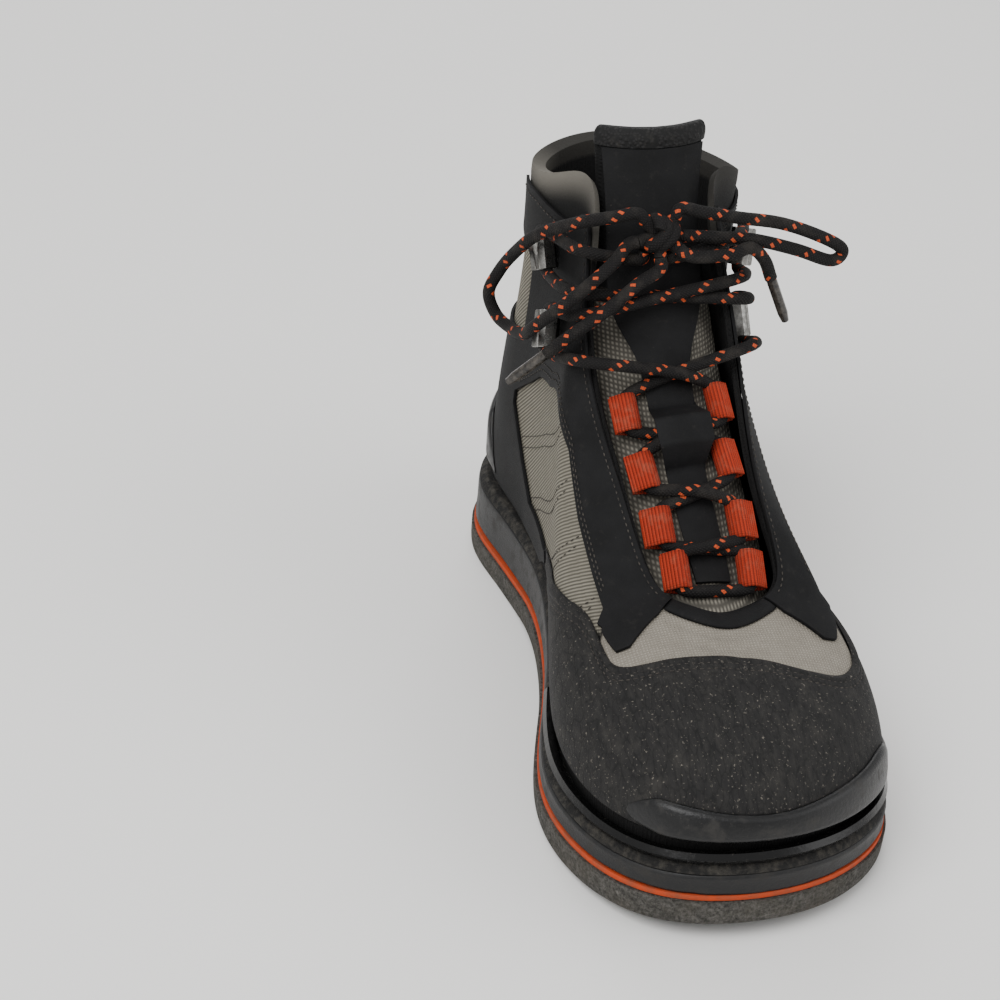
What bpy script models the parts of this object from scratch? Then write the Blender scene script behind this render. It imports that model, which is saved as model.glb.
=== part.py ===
"""Wading boot, left foot: felt sole, hollow lace-up upper, tongue, webbing loops, hooks and lace.

Metres, +Z up. The toe points to -Y, the inner side of the foot is -X. The boot stands on Z = 0 and
its sole's outline is centred on X = Y = 0. Every curved piece is read from two functions: the sole's
outline, and the upper's wall, which runs from the sole up to the throat and the collar.
"""
import math

import bmesh
import bpy
import numpy as np

# Driving sizes of the sole
LENGTH = 0.314
BALL_WIDTH = 0.128
FELT_THICK = 0.0105
LINE_THICK = 0.0024
MIDSOLE_THICK = 0.0080
HEEL_RISE = 0.0120
WELT_THICK = 0.0033
WELT_LEDGE = 0.0090
TOE_SPRING = 0.0085
ARCH_LIFT = 0.0040
BEAD_DIAMETER = 0.0050

# Driving sizes of the upper
THROAT_HEIGHT = 0.0760
COLLAR_HEIGHT = 0.1830
COLLAR_WIDTH = 0.0820
THROAT_WIDTH = 0.0480
WALL = 0.0024
COLLAR_WALL = 0.0060
OVERLAY = 0.0013
BUMPER = 0.0024
COUNTER = 0.0022
TONGUE_THICK = 0.0045
TONGUE_RISE = 0.0190

# Driving sizes of the fittings
WEBBING_WIDTH = 0.0150
WEBBING_THICK = 0.0012
WEBBING_REACH = 0.0165
LACE_DIAMETER = 0.0050
HOOK_WIDTH = 0.0062
HOOK_HEIGHT = 0.0150
HOOK_THICK = 0.0013
KNOT_RADIUS = 0.0085
TIP_DIAMETER = 0.0042
TIP_LENGTH = 0.0220

CLEAR = 0.0003
LAYER_CLEAR = 0.0005
STEPS = 3

# The stations go round the boot from the heel over the outer side to the toe and back along the
# inner side. Each row holds the sole's outline, and the wall that rises there from sole to topline:
# along and top_along are shares of LENGTH from the heel, across is a share of half BALL_WIDTH,
# inset is a share of WELT_LEDGE, top_across is a share of half COLLAR_WIDTH, top_rise is a share of
# the height from throat to collar, rise and drop are shares of the wall's own height, and lean and
# reach, outward, are shares of half BALL_WIDTH.
STATION_COLUMNS = ("along", "across", "inset", "top_along", "top_across", "top_rise",
                   "rise", "lean", "reach", "drop")
STATIONS = {
    "heel_back": (.000, .00, 1.0, .056, .07, 1.00, .34, .11, -.09, .40),
    "heel_corner_outer": (.045, .50, 1.0, .075, .63, .99, .34, .09, -.06, .40),
    "heel_outer": (.155, .76, 1.0, .150, 1.05, .99, .34, .05, -.06, .40),
    "ankle_outer": (.260, .78, 1.0, .235, 1.00, 1.05, .36, .05, -.06, .42),
    "waist_outer": (.360, .80, .9, .318, .54, 1.14, .38, .05, .09, .45),
    "instep_outer": (.500, .88, .9, .400, .63, .71, .38, .05, .06, .30),
    "ball_outer": (.668, 1.00, 1.0, .545, .63, .30, .42, .06, .19, .20),
    "toe_side_outer": (.872, .95, 1.0, .660, .66, .03, .56, .09, .36, .10),
    "toe_corner_outer": (.968, .50, 1.0, .692, .34, .00, .66, .12, .56, .10),
    "toe_tip": (1.000, -.07, 1.0, .702, .05, .00, .70, .12, .66, .12),
    "toe_corner_inner": (.974, -.61, 1.0, .692, -.22, .02, .66, .12, .56, .10),
    "toe_side_inner": (.885, -.92, 1.0, .660, -.46, .05, .56, .11, .41, .10),
    "ball_inner": (.738, -1.00, 1.0, .560, -.61, .26, .46, .12, .28, .20),
    "instep_inner": (.555, -.75, .6, .410, -.76, .68, .40, .14, .16, .30),
    "waist_inner": (.390, -.66, .5, .318, -.68, 1.12, .38, .15, .03, .45),
    "ankle_inner": (.270, -.72, .8, .235, -.88, 1.05, .36, .08, -.08, .42),
    "heel_inner": (.160, -.79, 1.0, .150, -.93, .99, .34, .05, -.06, .40),
    "heel_corner_inner": (.045, -.50, 1.0, .075, -.49, .99, .34, .09, -.06, .40),
}
NAMES = list(STATIONS)
TURN = {name: number for number, name in enumerate(NAMES)}
COUNT = len(NAMES)


def clear_scene():
    """Remove what the scene holds."""
    for thing in list(bpy.data.objects):
        bpy.data.objects.remove(thing, do_unlink=True)


def column(name):
    """One column of the station table as numbers."""
    return np.array([row[STATION_COLUMNS.index(name)] for row in STATIONS.values()], float)


def smooth_step(value):
    """Ease from 0 to 1."""
    value = np.clip(value, 0.0, 1.0)
    return value * value * (3.0 - 2.0 * value)


class RoundCurve:
    """A closed cubic curve through one value, or one point, for each station."""

    def __init__(self, values, spans):
        self.values = np.asarray(values, float).reshape(len(spans), -1)
        self.spans = spans
        size = len(spans)
        matrix = np.zeros((size, size))
        right = np.zeros_like(self.values)
        for here in range(size):
            after = (here + 1) % size
            back, forward = spans[here - 1], spans[here]
            matrix[here, here - 1] += back
            matrix[here, here] += 2.0 * (back + forward)
            matrix[here, after] += forward
            slope = (self.values[after] - self.values[here]) / forward
            right[here] = 6.0 * (slope - (self.values[here] - self.values[here - 1]) / back)
        self.bends = np.linalg.solve(matrix, right)

    def at(self, turn):
        """Values at a turn, counted in stations."""
        turn = np.mod(np.asarray(turn, float), len(self.spans))
        first = np.minimum(turn.astype(int), len(self.spans) - 1)
        second = (first + 1) % len(self.spans)
        late = (turn - first)[..., None]
        early = 1.0 - late
        span = self.spans[first][..., None]
        bend = (early ** 3 - early) * self.bends[first] + (late ** 3 - late) * self.bends[second]
        return early * self.values[first] + late * self.values[second] + bend * span * span / 6.0


def make_curves():
    """The outline of the sole and the curves that steer the upper's wall."""
    outline = np.stack([column("across") * BALL_WIDTH / 2, (0.5 - column("along")) * LENGTH], 1)
    spans = np.linalg.norm(np.roll(outline, -1, 0) - outline, axis=1) / BALL_WIDTH
    dense = RoundCurve(outline, spans).at(np.linspace(0, COUNT, 40 * COUNT, endpoint=False))
    outline = outline - (dense.min(0) + dense.max(0)) / 2
    rise = THROAT_HEIGHT + column("top_rise") * (COLLAR_HEIGHT - THROAT_HEIGHT)
    top = np.stack([column("top_across") * COLLAR_WIDTH / 2, (0.5 - column("top_along")) * LENGTH, rise], 1)
    return {
        "outline": RoundCurve(outline, spans),
        "inset": RoundCurve(column("inset") * WELT_LEDGE, spans),
        "top": RoundCurve(top, spans),
        "rise": RoundCurve(column("rise"), spans),
        "drop": RoundCurve(column("drop"), spans),
        "lean": RoundCurve(column("lean") * BALL_WIDTH / 2, spans),
        "reach": RoundCurve(column("reach") * BALL_WIDTH / 2, spans),
    }


CURVES = make_curves()


def along(point_y):
    """Share of the length, 0 at the heel and 1 at the toe."""
    return 0.5 - point_y / LENGTH


def outward(turn):
    """Level unit direction that points out of the outline."""
    small = 0.001
    run = CURVES["outline"].at(turn + small) - CURVES["outline"].at(turn - small)
    run /= np.linalg.norm(run, axis=-1, keepdims=True)
    return np.stack([-run[..., 1], run[..., 0]], -1)


def ground(share):
    """Height of the sole's underside: flat heel, lifted arch, flat forefoot, then the toe spring."""
    toe = np.clip((share - 0.70) / 0.30, 0.0, 1.0)
    arch = np.clip((share - 0.30) / 0.25, 0.0, 1.0)
    return TOE_SPRING * toe ** 2 + ARCH_LIFT * np.sin(np.pi * arch) ** 2


def midsole_top(share):
    """Height of the midsole's upper face above the ground line."""
    heel = 1.0 - smooth_step((share - 0.25) / 0.45)
    return FELT_THICK + LINE_THICK + MIDSOLE_THICK + HEEL_RISE * heel


def sole_ring(turn, inset, height):
    """Ring inside the outline; height is a number or a function of the share along."""
    turn = np.asarray(turn, float)
    edge = CURVES["outline"].at(turn)
    share = along(edge[:, 1])
    level = height(share) if callable(height) else height
    flat = edge - outward(turn) * inset
    return np.column_stack([flat, ground(share) + level])


def feather(turn):
    """Where the upper's outer face meets the welt."""
    edge = CURVES["outline"].at(turn)
    share = along(edge[..., 1])
    flat = edge - outward(turn) * CURVES["inset"].at(turn)
    level = ground(share) + midsole_top(share) + WELT_THICK + CLEAR
    return np.concatenate([flat, level[..., None]], -1)


def wall(turn, share):
    """Outer face of the upper: share 0 on the welt, 1 on the topline."""
    turn, share = np.broadcast_arrays(np.asarray(turn, float), np.asarray(share, float))
    foot = feather(turn)
    top = CURVES["top"].at(turn)
    side = outward(turn)
    side = np.concatenate([side, np.zeros_like(side[..., :1])], -1)
    height = (top[..., 2] - foot[..., 2])[..., None] * np.array([0.0, 0.0, 1.0])
    lower = foot + side * CURVES["lean"].at(turn) + height * CURVES["rise"].at(turn)
    upper = top + side * CURVES["reach"].at(turn) - height * CURVES["drop"].at(turn)
    late = share[..., None]
    early = 1.0 - late
    return (early ** 3 * foot + 3 * early ** 2 * late * lower
            + 3 * early * late ** 2 * upper + late ** 3 * top)


def wall_normal(turn, share):
    """Unit direction out of the upper's wall."""
    small = 0.004
    low = np.clip(share - small, 0.0, 1.0)
    high = np.clip(share + small, 0.0, 1.0)
    round_run = wall(turn - small * 5, share) - wall(turn + small * 5, share)
    climb = wall(turn, high) - wall(turn, low)
    normal = np.cross(round_run, climb)
    return normal / np.linalg.norm(normal, axis=-1, keepdims=True)


def lifted(turn, share, height):
    """Point above the upper's outer face, or below it for a negative height."""
    turn, share = np.broadcast_arrays(np.asarray(turn, float), np.asarray(share, float))
    return wall(turn, share) + wall_normal(turn, share) * np.asarray(height)[..., None]


def table(rows, *names):
    """Rows of a short table as one smooth function for each named column, read by its first one."""
    data = np.array(rows, float)
    first = data[:, 0]
    steps = []
    for number, _ in enumerate(names, start=1):
        steps.append(lambda where, values=data[:, number]: np.interp(where, first, values))
    return steps if len(steps) > 1 else steps[0]


def material(name, colour, roughness, metallic=0.0):
    """Principled material from an sRGB hex colour."""
    shade = bpy.data.materials.new(name)
    shade.use_nodes = True
    shader = shade.node_tree.nodes["Principled BSDF"]
    linear = []
    for start in (0, 2, 4):
        part = int(colour[start:start + 2], 16) / 255
        linear.append(part / 12.92 if part <= 0.04045 else ((part + 0.055) / 1.055) ** 2.4)
    shader.inputs["Base Color"].default_value = (*linear, 1.0)
    shader.inputs["Roughness"].default_value = roughness
    shader.inputs["Metallic"].default_value = metallic
    return shade


def finish(name, mesh_data, shade, sharp=35.0):
    """Turn a bmesh into a named, smooth shaded object."""
    bmesh.ops.recalc_face_normals(mesh_data, faces=mesh_data.faces[:])
    mesh = bpy.data.meshes.new(name)
    mesh_data.to_mesh(mesh)
    mesh_data.free()
    mesh.shade_smooth()
    mesh.set_sharp_from_angle(angle=math.radians(sharp))
    thing = bpy.data.objects.new(name, mesh)
    thing.data.materials.append(shade)
    bpy.context.scene.collection.objects.link(thing)
    return thing


def add_rings(mesh_data, rings):
    """Verts for each ring of points."""
    return [[mesh_data.verts.new(point) for point in ring] for ring in rings]


def join_rings(mesh_data, first, second, closed=True):
    """Faces between two rings of verts."""
    last = len(first) if closed else len(first) - 1
    for here in range(last):
        after = (here + 1) % len(first)
        mesh_data.faces.new((first[here], first[after], second[after], second[here]))


def cap_ladder(mesh_data, ring):
    """Close a ring by rungs from its outer to its inner side, so that the cap follows the sole."""
    size = len(ring)
    for here in range(size // 2):
        corners = [ring[here], ring[here + 1], ring[size - here - 1], ring[-here % size]]
        kept = list(dict.fromkeys(corners))
        mesh_data.faces.new(kept)


def plate(name, shade, profile):
    """Solid with the sole's outline; profile rows are (inset, height) from below to above."""
    mesh_data = bmesh.new()
    turns = np.linspace(0, COUNT, COUNT * STEPS, endpoint=False)
    rings = add_rings(mesh_data, [sole_ring(turns, inset, height) for inset, height in profile])
    for lower, upper in zip(rings, rings[1:]):
        join_rings(mesh_data, lower, upper)
    cap_ladder(mesh_data, rings[0])
    cap_ladder(mesh_data, rings[-1])
    return finish(name, mesh_data, shade)


def hoop(name, shade, rings):
    """Closed ring solid: the rings go once round its section."""
    mesh_data = bmesh.new()
    verts = add_rings(mesh_data, rings)
    for here, ring in enumerate(verts):
        join_rings(mesh_data, ring, verts[(here + 1) % len(verts)])
    return finish(name, mesh_data, shade)


def shell(name, shade, outer, inner, keep=None):
    """Solid between two grids of points, with a wall round every edge and window."""
    mesh_data = bmesh.new()
    columns, rows = outer.shape[:2]
    used = np.ones((columns - 1, rows - 1), bool) if keep is None else keep
    verts = {}

    def vert(layer, i, j):
        if (layer, i, j) not in verts:
            verts[layer, i, j] = mesh_data.verts.new((outer, inner)[layer][i, j])
        return verts[layer, i, j]

    def cell(i, j):
        return 0 <= i < columns - 1 and 0 <= j < rows - 1 and used[i, j]

    for i in range(columns - 1):
        for j in range(rows - 1):
            if not used[i, j]:
                continue
            corners = ((i, j), (i + 1, j), (i + 1, j + 1), (i, j + 1))
            for layer in (0, 1):
                mesh_data.faces.new([vert(layer, *corner) for corner in corners])
            beside = (cell(i, j - 1), cell(i + 1, j), cell(i, j + 1), cell(i - 1, j))
            for side, joined in enumerate(beside):
                if not joined:
                    first, second = corners[side], corners[(side + 1) % 4]
                    mesh_data.faces.new((vert(0, *first), vert(0, *second), vert(1, *second), vert(1, *first)))
    return finish(name, mesh_data, shade)


def turns_between(start, end):
    """Columns of a piece that lie on the upper's own columns, and its two ends."""
    first = math.floor(start * STEPS) + 1
    last = math.ceil(end * STEPS) - 1
    inner = [number / STEPS for number in range(first, last + 1)]
    spare = 0.08 / STEPS
    inner = [turn for turn in inner if start + spare < turn < end - spare]
    return np.array([start, *inner, end])


def patch(name, shade, start, end, low, high, rows, base, thick):
    """Overlay on the upper between two edges that are functions of the turn."""
    turns = turns_between(start, end)
    shares = np.stack([low(turns) + (high(turns) - low(turns)) * part
                       for part in np.linspace(0, 1, rows)], 1)
    columns = np.repeat(turns[:, None], rows, 1)
    outer = lifted(columns, shares, base + thick)
    inner = lifted(columns, shares, base)
    return shell(name, shade, outer, inner)


def tube(name, shade, points, diameter, resolution):
    """Round cord or bead along points, as a curve with a bevel and filled caps."""
    curve = bpy.data.curves.new(name, "CURVE")
    curve.dimensions = "3D"
    spline = curve.splines.new("POLY")
    spline.points.add(len(points) - 1)
    for slot, point in zip(spline.points, points):
        slot.co = (*point, 1.0)
    curve.bevel_depth = diameter / 2
    curve.bevel_resolution = resolution
    curve.use_fill_caps = True
    curve.materials.append(shade)
    thing = bpy.data.objects.new(name, curve)
    bpy.context.scene.collection.objects.link(thing)
    return thing


def smooth_route(points, parts):
    """Points read from a smooth curve through a route's own points, so many between each two."""
    points = np.asarray(points, float)
    padded = np.vstack([2 * points[0] - points[1], points, 2 * points[-1] - points[-2]])
    route = []
    for before, here, after, beyond in zip(padded, padded[1:], padded[2:], padded[3:]):
        for share in np.arange(parts) / parts:
            bend = (2 * before - 5 * here + 4 * after - beyond) * share ** 2
            twist = (-before + 3 * here - 3 * after + beyond) * share ** 3
            route.append(here + 0.5 * ((after - before) * share + bend + twist))
    return np.array([*route, points[-1]])


# The bead lies on the welt round the forefoot, from turn to turn, at a share of the upper's inset.
BEAD_START = 5.6
BEAD_END = 12.6
BEAD_SHARE = 0.52


def mesh_tube(name, points, diameter, sides=6):
    """Closed tube along a few points, as a mesh object."""
    mesh_data = bmesh.new()
    points = np.asarray(points, float)
    run = np.gradient(points, axis=0)
    run /= np.linalg.norm(run, axis=1, keepdims=True)
    aside = np.cross(run, np.cross(run[0], points[-1] - points[0] + np.array([0.0, 0.003, 0.007])))
    aside /= np.linalg.norm(aside, axis=1, keepdims=True)
    third = np.cross(run, aside)
    rings = []
    for number in range(sides):
        angle = 2 * math.pi * number / sides
        rings.append(points + (aside * math.cos(angle) + third * math.sin(angle)) * diameter / 2)
    rings = add_rings(mesh_data, np.stack(rings, 1))
    for first, second in zip(rings, rings[1:]):
        join_rings(mesh_data, first, second)
    mesh_data.faces.new(rings[0])
    mesh_data.faces.new(rings[-1])
    return mesh_data


def crossing(name, shade, first, second):
    """Two strands of lace that cross, joined into one solid."""
    strand = finish(name, mesh_tube(name, first, LACE_DIAMETER), shade)
    other = finish(name + "_strand", mesh_tube(name, second, LACE_DIAMETER), shade)
    other.hide_render = True
    other.display_type = "WIRE"
    join = strand.modifiers.new("join", "BOOLEAN")
    join.operation = "UNION"
    join.object = other
    return strand


# The bead lies on the welt round the forefoot, from turn to turn, at a share of the upper's inset.
BEAD_START = 5.6
BEAD_END = 12.6
BEAD_SHARE = 0.52


def rounded(points, cut):
    """Route with each corner cut off at the same distance before and after it."""
    route = [points[0]]
    for before, here, after in zip(points, points[1:], points[2:]):
        for other in (before, after):
            run = other - here
            length = np.linalg.norm(run)
            route.append(here + run * min(cut / length, 0.45))
    return np.array([*route, points[-1]])


def build_sole(shades):
    """Felt, coloured line, midsole, welt and bead."""
    felt_top = FELT_THICK - CLEAR
    plate("outsole_felt", shades["felt"], [(0.0008, 0.0), (0.0, 0.0015), (0.0, felt_top)])
    line_top = FELT_THICK + LINE_THICK - CLEAR
    plate("sole_line", shades["line"], [(0.0010, FELT_THICK), (0.0010, line_top)])
    bottom = FELT_THICK + LINE_THICK
    plate("midsole", shades["midsole"], [
        (0.0012, bottom),
        (0.0018, lambda share: bottom + 0.45 * (midsole_top(share) - bottom)),
        (0.0014, lambda share: midsole_top(share) - 0.0012),
        (0.0022, midsole_top),
    ])
    turns = np.linspace(0, COUNT, COUNT * STEPS, endpoint=False)
    inner_edge = WELT_LEDGE + WALL + 0.0012

    def welt_low(share):
        return midsole_top(share) + CLEAR

    def welt_high(share):
        return midsole_top(share) + WELT_THICK

    hoop("welt", shades["welt"], [
        sole_ring(turns, 0.0018, welt_low),
        sole_ring(turns, 0.0026, lambda share: midsole_top(share) + 0.45 * WELT_THICK),
        sole_ring(turns, 0.0048, welt_high),
        sole_ring(turns, inner_edge, welt_high),
        sole_ring(turns, inner_edge, welt_low),
    ])
    turns = turns_between(BEAD_START, BEAD_END)
    inset = CURVES["inset"].at(turns) * BEAD_SHARE
    route = sole_ring(turns, inset, lambda share: welt_high(share) + BEAD_DIAMETER / 2 + CLEAR)
    tube("bead", shades["rubber"], route, BEAD_DIAMETER, 1)
    return inner_edge


def build_insole(shades, inner_edge):
    """Footbed that lies on the midsole inside the welt, under the upper's wall."""
    inset = inner_edge + CLEAR

    def top(share):
        return midsole_top(share) + WELT_THICK - CLEAR

    plate("insole", shades["insole"], [(inset, lambda share: midsole_top(share) + CLEAR), (inset, top)])


def build_upper(shades):
    """The hollow upper: one closed shell, open at the collar and throat and underneath."""
    rows = 13
    turns = np.linspace(0, COUNT, COUNT * STEPS, endpoint=False)
    rings = []
    shares = np.linspace(0, 1, rows)
    for share in shares:
        rings.append(wall(turns, np.full_like(turns, share)))
    for share in shares[::-1]:
        rings.append(lifted(turns, np.full_like(turns, share), -wall_thickness(turns, share)))
    return hoop("upper", shades["fabric"], rings)


def wall_thickness(turns, share):
    """Real thickness of the wall: thin below, padded round the collar."""
    top = CURVES["top"].at(turns)
    behind = smooth_step((0.30 - along(top[:, 1])) / 0.07)
    padded = smooth_step((share - 0.55) / 0.25) * behind
    return WALL + (COLLAR_WALL - WALL) * padded


# Rows up the throat: place is 0 at the throat's base and 1 at the collar's front corners. Front and
# drop are shares of THROAT_WIDTH: how far the tongue's middle stands off the line between the two
# edges, and how far its own edges fall behind the middle. Half is a share of the gap between edges.
TONGUE_ROWS = [
    ("under_vamp", -.26, -.130, .05, .42),
    ("throat_base", 0.00, -.060, .17, .55),
    ("lower_instep", 0.18, -.050, .24, .56),
    ("instep", 0.38, -.045, .24, .52),
    ("ankle", 0.60, -.030, .22, .46),
    ("shin", 0.85, -.020, .20, .43),
    ("collar", 1.00, -.010, .20, .43),
    ("top_edge", 1.28, -.020, .20, .47),
]
tongue_front, tongue_drop, tongue_half = table(
    [row[1:] for row in TONGUE_ROWS], "front", "drop", "half")


def throat_line(place):
    """Middle of the throat, its level direction across and the gap between its edges."""
    place = np.asarray(place, float)
    held = np.clip(place, 0.0, 1.0)
    inner = CURVES["top"].at(TURN["toe_side_inner"] + 3.0 * held)
    outer = CURVES["top"].at(TURN["toe_side_outer"] - 3.0 * held)
    gap = np.linalg.norm(outer - inner, axis=-1, keepdims=True)
    middle = (inner + outer) / 2
    below = np.minimum(place, 0.0)[..., None]
    above = np.maximum(place - 1.0, 0.0)[..., None] / (TONGUE_ROWS[-1][1] - 1.0)
    middle = middle + below * np.array([0.0, 0.175 * LENGTH, 0.02 * LENGTH])
    middle = middle + above * np.array([0.0, 0.10 * TONGUE_RISE, TONGUE_RISE])
    return middle, (outer - inner) / gap, gap


def tongue_face(place, side, depth=0.0):
    """Point of the tongue's front: side runs from -1 on the inner edge to 1 on the outer one."""
    place, side = np.broadcast_arrays(np.asarray(place, float), np.asarray(side, float))
    small = 0.02
    middle, across, gap = throat_line(place)
    climb = throat_line(place + small)[0] - throat_line(place - small)[0]
    climb /= np.linalg.norm(climb, axis=-1, keepdims=True)
    front = np.cross(across, climb)
    front /= np.linalg.norm(front, axis=-1, keepdims=True)
    front = np.where(front[..., 1:2] > 0, -front, front)
    half = gap * tongue_half(place)[..., None]
    off = (tongue_front(place) - tongue_drop(place) * side ** 2) * THROAT_WIDTH
    lean = 2 * (tongue_drop(place) * side * THROAT_WIDTH)[..., None] / half
    normal = front + across * lean
    normal /= np.linalg.norm(normal, axis=-1, keepdims=True)
    depth = np.asarray(depth)[..., None]
    return middle + across * half * side[..., None] + front * off[..., None] - normal * depth


def tongue_patch(name, shade, places, widths, columns, base, thick):
    """Piece on the tongue, or the tongue itself, between places, as wide as widths says."""
    place = np.repeat(places[:, None], columns, 1)
    side = widths[:, None] * np.linspace(-1, 1, columns)[None, :]
    front = tongue_face(place, side, -(base + thick))
    back = tongue_face(place, side, -base)
    return shell(name, shade, front, back)


def build_tongue(shades):
    """The padded tongue."""
    places = np.linspace(TONGUE_ROWS[0][1], TONGUE_ROWS[-1][1], 16)
    tongue_patch("tongue", shades["fabric"], places, np.ones(16), 10, -TONGUE_THICK, TONGUE_THICK)


# Edges of the overlays on the upper: each row is a turn and the share of the wall's height there.
# The turns run from the outer side over the toe to the inner side, and past 18 round the heel.
RAND_TOP = table([
    (4.60, .060), (5.50, .300), (6.30, .460), (6.84, .500), (7.52, .569), (8.04, .688), (8.58, .788),
    (9.28, .812), (9.90, .763), (10.28, .688), (10.76, .600), (11.02, .581), (11.20, .594),
    (11.36, .619), (11.70, .575), (12.20, .456), (13.00, .250), (13.64, .110),
], "share")
RAND_LOW = table([(4.60, .030), (5.10, .100), (13.00, .100), (13.64, .050)], "share")
BUMPER_TOP = table([
    (6.90, .190), (7.24, .263), (7.86, .244), (8.32, .225), (8.80, .200), (9.28, .206),
    (9.86, .231), (10.28, .238), (10.45, .190),
], "share")
COUNTER_TOP = table([
    (15.70, .050), (15.95, .110), (16.25, .190), (17.00, .240), (18.00, .270), (19.00, .240),
    (19.75, .190), (20.05, .110), (20.30, .050),
], "share")

# Edges of the quarter on the inner side, from the vamp to the back seam. The quarter is one piece
# with the eyestay: it frames the side panel between the rows panel_low and panel_high, and leaves
# the ankle panel open between ankle_low and ankle_high. The outer side mirrors it.
VAMP_EDGE = table([(10.44, .890), (10.67, .700), (10.90, .640), (11.33, .630), (13.9, .020)], "share")
PANEL_LOW = table([
    (10.44, .915), (10.67, .760), (11.33, .640), (11.70, .590), (12.20, .471), (13.00, .265), (13.67, .110),
    (14.44, .110), (14.84, .188), (15.34, .330),
], "share")
PANEL_HIGH = table([
    (10.44, .935), (10.67, .820), (11.33, .690), (12.20, .695), (12.64, .735), (13.20, .640), (14.00, .500),
    (14.56, .480), (15.34, .360),
], "share")
ANKLE_LOW = table([(10.44, .955), (11.33, .850), (13.00, .820), (14.56, .620), (15.34, .540)], "share")
ANKLE_HIGH = table([(10.44, .970), (11.33, .930), (13.00, .900), (15.34, .770), (16.00, .830)], "share")
QUARTER_TOP = table([
    (10.44, .985), (13.56, .985), (14.40, .890), (14.72, .906), (15.36, .950), (16.00, .965),
], "share")
QUARTER_START = 10.44
PANEL_START = 11.33
PANEL_END = 15.33
LOWER_EDGE_START = 13.6
ANKLE_START = 15.33
ANKLE_END = 16.0
SEAM_GAP = 0.012


def quarter(name, shade, mirror):
    """Eyestay, ankle overlay and heel quarter of one side in one piece, with its windows open."""
    turns = turns_between(QUARTER_START, COUNT - SEAM_GAP)
    lowest = np.maximum(VAMP_EDGE(turns), 0.02)
    edges = [lowest, PANEL_LOW(turns), PANEL_HIGH(turns), ANKLE_LOW(turns), ANKLE_HIGH(turns),
             QUARTER_TOP(turns)]
    real = COUNT - turns if mirror else turns
    beside_rand = (turns > PANEL_START - 0.1) & (turns < LOWER_EDGE_START)
    edges[1] = np.where(beside_rand & mirror, np.maximum(edges[1], RAND_TOP(real) + 0.015), edges[1])
    edges[0] = np.where(beside_rand, edges[1] - 0.01, edges[0])
    edges[2] = np.maximum(edges[2], edges[1] + 0.02)
    rows = []
    band = []
    for number, (low, high) in enumerate(zip(edges, edges[1:])):
        parts = QUARTER_ROWS[number]
        rows += [low + (high - low) * part / parts for part in range(parts)]
        band += [number] * parts
    rows.append(edges[-1])
    shares = np.stack(rows, 1)
    columns = np.repeat(real[:, None], shares.shape[1], 1)
    outer = lifted(columns, shares, LAYER_CLEAR + OVERLAY)
    inner = lifted(columns, shares, LAYER_CLEAR)
    middle = ((turns[1:] + turns[:-1]) / 2)[:, None]
    band = np.array(band)[None, :]
    panel = (middle > PANEL_START) & (middle < PANEL_END)
    below_panel = panel & (middle < LOWER_EDGE_START)
    hole = (panel & (band == 1)) | (below_panel & (band == 0))
    hole |= (middle > ANKLE_START) & (band == 3)
    hole |= (middle > ANKLE_END) & (band == 4)
    return shell(name, shade, outer, inner, ~hole)


QUARTER_ROWS = (2, 3, 3, 2, 2)


def build_overlays(shades):
    """The pieces that lie on the upper's wall, each from the wall's own function."""
    quarter("quarter_inner", shades["nubuck"], False)
    quarter("quarter_outer", shades["nubuck"], True)
    patch("toe_rand", shades["rand"], 4.6, 13.64, RAND_LOW, RAND_TOP, 8, LAYER_CLEAR, OVERLAY)
    second = 2 * LAYER_CLEAR + OVERLAY
    patch("toe_bumper", shades["rubber"], 6.9, 10.45, RAND_LOW, BUMPER_TOP, 4, second, BUMPER)

    def counter_low(turns):
        return np.full_like(turns, 0.03)

    patch("heel_counter", shades["rubber"], 15.7, 20.3, counter_low, COUNTER_TOP, 4, second, COUNTER)

    def trim_low(turns):
        return np.full_like(turns, 0.925)

    def trim_high(turns):
        return np.full_like(turns, 0.985)

    start = COUNT - QUARTER_START + SEAM_GAP * 2
    patch("throat_trim", shades["nubuck"], start, QUARTER_START - SEAM_GAP * 2,
          trim_low, trim_high, 2, LAYER_CLEAR, OVERLAY)


# The keyhole overlay on the tongue: place up the throat, and its width as a share of the tongue's.
KEYHOLE_ROWS = [
    ("throat_base", .01, .25), ("strip", .12, .25), ("instep", .21, .25), ("strap_start", .29, .26), ("strap_rise", .355, .27),
    ("strap_low", .375, .28), ("strap_top", .395, .29), ("strap_middle", .425, .30), ("strap_end", .455, .30),
    ("strap_fall", .475, .31), ("strap_foot", .495, .32), ("neck", .555, .34), ("neck_top", .60, .37), ("bowl", .67, .66),
    ("bowl_side", .74, .76), ("panel", .90, .80), ("panel_top", 1.17, .84),
]
TONGUE_CLEAR = 0.0009
STRAP_PLACE = 0.425
STRAP_HALF = 0.070
STRAP_RAMP = 0.040
STRAP_RISE = LACE_DIAMETER + OVERLAY + 0.0040


def build_tongue_pieces(shades):
    """Keyhole overlay, whose narrow strip bridges one lace crossing, and the tongue's bound top."""
    places = np.array([row[1] for row in KEYHOLE_ROWS])
    widths = np.array([row[2] for row in KEYHOLE_ROWS])
    rise = STRAP_RISE * smooth_step((STRAP_HALF - abs(places - STRAP_PLACE)) / STRAP_RAMP)
    tongue_patch("tongue_overlay", shades["nubuck"], places, widths, 5, TONGUE_CLEAR + rise[:, None], OVERLAY)
    places = np.linspace(1.185, 1.27, 2)
    tongue_patch("tongue_binding", shades["nubuck"], places, np.full(2, 0.97), 9, TONGUE_CLEAR, OVERLAY)


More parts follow.
